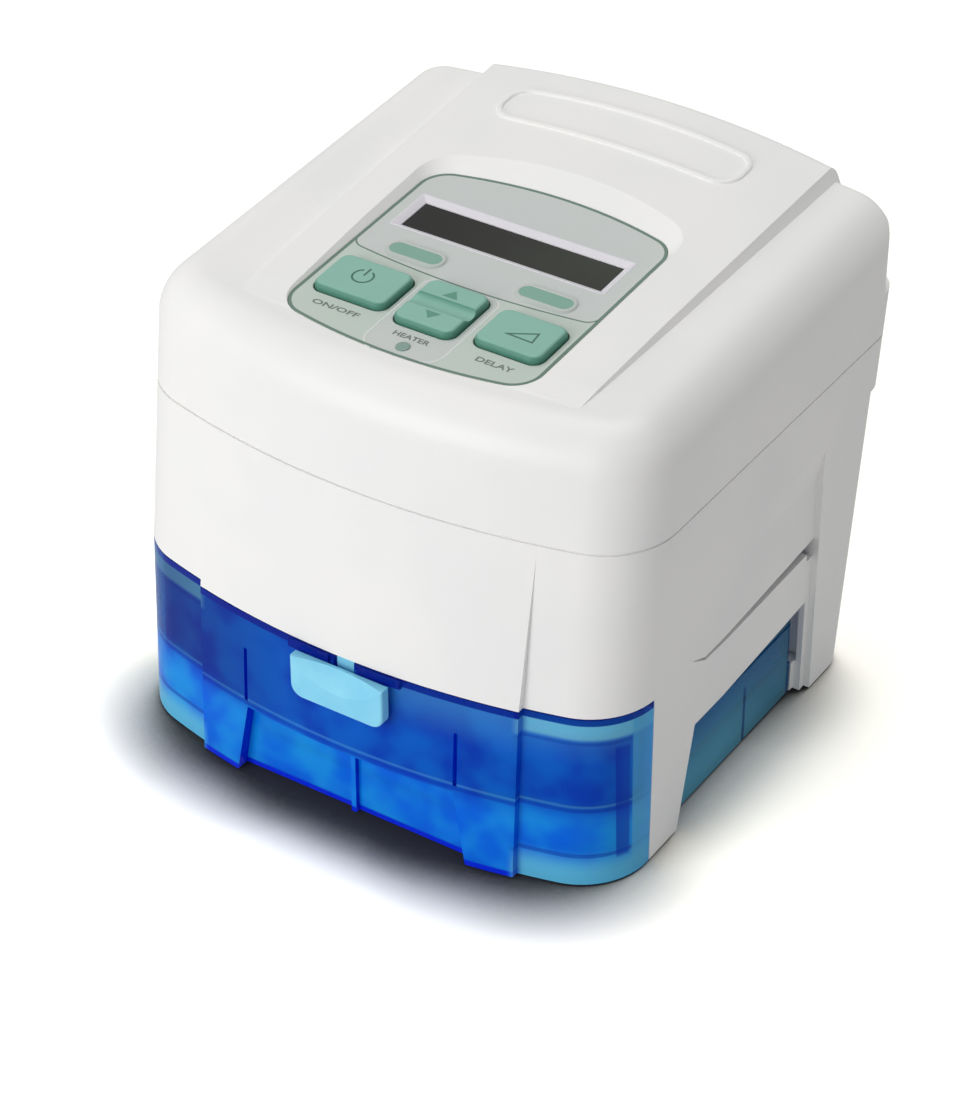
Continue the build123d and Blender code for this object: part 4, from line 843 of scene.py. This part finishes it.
# %% Plaque bead
bead_x, bead_corner = 33.5, 7.0
bead_front_y, bead_rear_y = 60.905, 64.02
hollow_bow, full_bow = 411.0, 260.0
turn_front = np.degrees(np.arcsin(bead_x / (hollow_bow + bead_corner)))
turn_rear = np.degrees(np.arcsin(bead_x / (full_bow - bead_corner)))
plaque_path = round_path([
    (0, -355.75, -hollow_bow, -90 + turn_front, -90 - turn_front),
    (bead_x, bead_front_y, bead_corner, -90 - turn_front, 0),
    (bead_x, bead_rear_y, bead_corner, 0, 90 - turn_rear),
    (0, -186.75, full_bow, 90 - turn_rear, 90 + turn_rear),
    (-bead_x, bead_rear_y, bead_corner, 90 + turn_rear, 180),
    (-bead_x, bead_front_y, bead_corner, 180, 270 + turn_front),
], steps=24)
bead_profile = [
    (0.3, -0.06), (0.05, 0.42), (-0.3, 0.68), (-0.7, 0.74),
    (-1.1, 0.68), (-1.45, 0.42), (-1.7, -0.06),
]
x, y, rise = np.moveaxis(sweep(plaque_path, bead_profile), -1, 0)
bead = np.stack((x, y, band_height(x, y) + rise), axis=-1) * mm
sheet("plaque_bead", bead, white_shell, "base", close_path=True)
print("plaque bead up to", round(float(bead[..., 2].max()), 4), "m")

# %% [markdown]
# ## The display's frame
#
# The display sits under a window cut in the film, with a wide white bevel that
# catches the light at the top and left. The bevel is one band of four sloping
# faces: its outer edge is level with the film, its inner edge meets the pane.

# %% Display frame
frame_white = plain("frame_white", rgb(232, 228, 234), rgb(224, 221, 228), 0.35, 2500)
lcd_x, lcd_y, lcd_wide, lcd_long = -0.8, 17.2, 65.5, 12.8
bevel = 2.0
path = round_box(lcd_x, lcd_y, lcd_wide + 2 * bevel, lcd_long + 2 * bevel, 0.3)
bevel_profile = [
    (0.35, -0.02), (0.3, 0.08), (0.0, 0.06),
    (-bevel / 2, -0.44), (-bevel, -1.0), (-bevel - 0.05, -1.28),
]
grid = on_panel(sweep(path, bevel_profile))
sheet("display_frame", grid, frame_white, "base", close_path=True)
print("display frame", lcd_wide, "by", lcd_long, "mm inside")

# %% [markdown]
# ## The sign for on and standby
#
# The left key carries the usual sign, a broken ring with a bar. It is a flat
# pad of ink a few hundredths of a millimetre thick, and it rides on its own
# key, so that it goes down with it. The ring is one arc that stops short of
# closing, and the bar stands in the gap.

# %% Power mark
mark_ink = plain("mark_ink", rgb(52, 104, 84), rgb(44, 94, 76), 0.5, 4000)
key_top = 2.3
ink_rise = 0.03
ring_x, ring_y, ring_radius = -25.1, -19.7, 3.0
power_line = line_profile(0.65, ink_rise, key_top)

ring_path = round_path([(ring_x, ring_y, ring_radius, 118, 422)], steps=49)
sheet("power_ring", on_panel(sweep(ring_path, power_line)), mark_ink, "power_key")


def straight(start, end, steps=4):
    """A straight open path, p = start + (end - start) t, with normals to its right."""
    path = np.linspace(start, end, steps)
    along = (path[-1] - path[0]) / np.linalg.norm(path[-1] - path[0])
    return path, np.tile((along[1], -along[0]), (steps, 1))


bar_path = straight((ring_x, ring_y + 0.4), (ring_x, ring_y + 4.0))
sheet("power_bar", on_panel(sweep(bar_path, power_line)), mark_ink, "power_key")
print("power mark at", ring_x, ring_y)

# %% [markdown]
# ## The ramp sign
#
# The right key carries a small ramp: three straight lines with sharp corners.
# At a corner the two edges' normals are added and divided by the miter, so
# that the line keeps its width round the bend.

# %% Ramp mark
def corner_line(points):
    """A closed path round a polygon: the normal at a corner is (n1 + n2) / (1 + n1 . n2)."""
    points = np.array(points, dtype=float)
    before = points - np.roll(points, 1, axis=0)
    after = np.roll(points, -1, axis=0) - points
    before /= np.linalg.norm(before, axis=1, keepdims=True)
    after /= np.linalg.norm(after, axis=1, keepdims=True)
    normals = np.stack((before[:, 1] + after[:, 1], -before[:, 0] - after[:, 0]), axis=-1)
    miter = 1 + (before * after).sum(axis=1, keepdims=True)
    return points, normals / miter


ramp_path = corner_line([(23.4, -22.6), (31.4, -22.9), (30.9, -18.6)])
ramp_line = line_profile(0.6, ink_rise, key_top)
sheet("ramp_mark", on_panel(sweep(ramp_path, ramp_line)), mark_ink, "ramp_key", close_path=True)
print("ramp mark of", len(ramp_path[0]), "corners")

# %% [markdown]
# ## Arrows on the middle key
#
# The two halves of the middle key carry an arrow each. The key has a round
# valley across its middle, and the arrows reach into it, so each of them is a
# fine grid that takes the key's height point by point.

# %% Arrows
arrow_ink = plain("arrow_ink", rgb(88, 148, 126), rgb(80, 140, 118), 0.5, 4000)
rocker_x, rocker_y = key_boxes["rocker"][:2]
valley_radius, valley_depth = 4.0, 1.3
arrow_half = 2.4


def rocker_top(y):
    """Height of the rocker's face: level, less a round valley across its middle."""
    lower = valley_radius**2 - (y - rocker_y) ** 2
    bowl = key_top + valley_radius - valley_depth - np.sqrt(np.maximum(lower, 0))
    return np.minimum(key_top, bowl)


along, over = np.meshgrid(np.linspace(0, 1, 12), np.linspace(-1, 1, 13), indexing="ij")
for name, base_y, tip_y in (("up", -16.4, -13.0), ("down", -24.2, -27.2)):
    y = base_y + (tip_y - base_y) * along
    x = rocker_x + over * arrow_half * (1 - along)
    grid = np.stack((x, y, rocker_top(y) + 0.04), axis=-1)
    sheet(f"arrow_{name}", on_panel(grid), arrow_ink, "rocker")
print("two arrows over a valley", valley_depth, "mm deep")

# %% [markdown]
# ## Words beside the keys
#
# The three words only say what the keys do. Blender writes them with its own
# font as curves. They are turned into a mesh first and then laid on the panel,
# because the piece itself must stay unturned at the origin.

# %% Words
word_ink = plain("word_ink", rgb(116, 126, 120), rgb(104, 114, 108), 0.5, 4000)
word_rise = 0.04


def write(text, x, y, wide, height):
    """A word laid flat on the panel, its left foot at (x, y) and `wide` across, in mm."""
    curve = bpy.data.curves.new("words", "FONT")
    curve.body = text
    curve.resolution_u = 3
    curve.offset = 0.022
    temporary = bpy.data.objects.new("words", curve)
    mesh = bpy.data.meshes.new_from_object(temporary)
    bpy.data.objects.remove(temporary)
    points = np.empty(len(mesh.vertices) * 3)
    mesh.vertices.foreach_get("co", points)
    points = points.reshape(-1, 3)
    low, high = points.min(axis=0), points.max(axis=0)
    flat = (points - low) / (high - low + (0, 0, 1))
    rise = np.full(len(flat), word_rise)
    placed = np.stack((x + flat[:, 0] * wide, y + flat[:, 1] * height, rise), axis=-1)
    mesh.vertices.foreach_set("co", on_panel(placed).ravel())
    mesh.name = "word_" + text.lower().replace("/", "_")
    finish_piece(mesh, word_ink, "base")


write("ON/OFF", -32.4, -34.3, 15.2, 2.1)
write("HEATER", -4.9, -35.6, 11.4, 2.0)
write("DELAY", 20.7, -34.6, 11.6, 2.1)
print("three words on the panel")

# %% [markdown]
# ## The floor
#
# The machine stands on a pale sweep. What the camera sees of the floor is
# brighter than what the machine receives from it, so that the floor comes out
# white without washing out the white case. Close to the machine its shadow is
# deepened by painted shadow, from the share of the sky that each point of the
# floor can see within a few centimetres, a sky leaned back so that the painted
# shadow reaches further in front; far from it the camera sees plain white paper.

# %% Floor
reach = 6.0
corners = [(-reach, -reach, 0), (reach, -reach, 0), (reach, reach, 0), (-reach, reach, 0)]
floor_mesh = bpy.data.meshes.new("floor")
floor_mesh.from_pydata(corners, [], [(0, 1, 2, 3)])
floor = bpy.data.objects.new("floor", floor_mesh)
bpy.context.scene.collection.objects.link(floor)

finish = Finish("floor")
hidden_at, spread = 0.43, 0.5        # the open share where the shade is full, and its range
# painted shadow: the occlusion samples a sky leaned back, so the painted shadow lies further in
# front of the machine
leaning_back = tuple(Vector((0.0, 1.3, 1.0)).normalized())
toward = finish.node("CombineXYZ", None, dict(enumerate(leaning_back)))
sky = {"Distance": 0.030, "Normal": toward}
unhidden = finish.node("AmbientOcclusion", {"samples": 20}, sky, out="AO")
clear = ((unhidden - hidden_at) / spread).most(0.0).least(1.0)
shade = finish.blend(clear, (0.05, 0.05, 0.05, 1), (1.82, 1.79, 1.66, 1))
near_floor = finish.node("BsdfDiffuse", None, {"Color": shade})
paper = finish.node("Emission", None, {"Color": (1, 1, 1, 1), "Strength": 1.0})
x, y, _ = finish.place_mm()
far = ((x * x + y * y) ** 0.5).ramp(220.0, 700.0)
seen_floor = finish.node("MixShader", None, {0: far, 1: near_floor, 2: paper})
true_floor = finish.node("BsdfDiffuse", None, {"Color": (0.88, 0.88, 0.88, 1)})
by_camera = finish.node("LightPath", out="Is Camera Ray")
finish.show(finish.node("MixShader", None, {0: by_camera, 1: true_floor, 2: seen_floor}))
floor_mesh.materials.append(finish.material)
print("floor", 2 * reach, "m across")

# %% [markdown]
# ## The surroundings
#
# The world round the machine is plain: dim for soft fill, and white where the
# camera sees it, or where glossy or clear pieces look into it. One factor
# picks between the two backgrounds, from the kind of ray that asks.

# %% Surroundings
class Surroundings(Finish):
    """The world's own nodes, made in the same way as a finish."""

    ends_in = "OutputWorld"

    def __init__(self, world):
        world.use_nodes = True
        self.tree = world.node_tree
        self.tree.nodes.clear()


fill_level = 0.355
world = bpy.data.worlds.new("world")
bpy.context.scene.world = world
around = Surroundings(world)
rays = around.node("LightPath").socket.node.outputs
looked_at = Value(around, rays["Is Camera Ray"])
for kind in ("Is Glossy Ray", "Is Transmission Ray"):
    looked_at = looked_at.most(Value(around, rays[kind]))
dim = around.node("Background", None, {0: (1, 1, 1, 1), 1: fill_level})
white = around.node("Background", None, {0: (1, 1, 1, 1), 1: 1.0})
around.show(around.node("MixShader", None, {0: looked_at, 1: dim, 2: white}))
print("surroundings at", fill_level)

# %% [markdown]
# ## Two lamps
#
# One large lamp hangs behind and above, and one stands in front at the left,
# at the height of a desk lamp, so that the front comes out lighter than the
# top and the side falls into half shade. Both are wide, for soft edges.

# %% Lamps
machine_middle = Vector((0, 0, 0.07))


def lamp(name, place, size, power):
    """A square soft light at a place, turned to face the machine's middle."""
    light = bpy.data.lights.new(name, "AREA")
    light.shape = "SQUARE"
    light.size = size
    light.energy = power
    made = bpy.data.objects.new(name, light)
    made.location = place
    toward = machine_middle - Vector(place)
    made.rotation_euler = toward.to_track_quat("-Z", "Y").to_euler()
    bpy.context.scene.collection.objects.link(made)


lamp("overhead", place=(-0.15, 0.45, 1.6), size=0.9, power=8.3)
lamp("front_left", place=(-0.42, -1.3, 0.55), size=0.8, power=10.0)
bpy.context.scene.view_settings.view_transform = "Standard"
print("two lamps")

# %% [markdown]
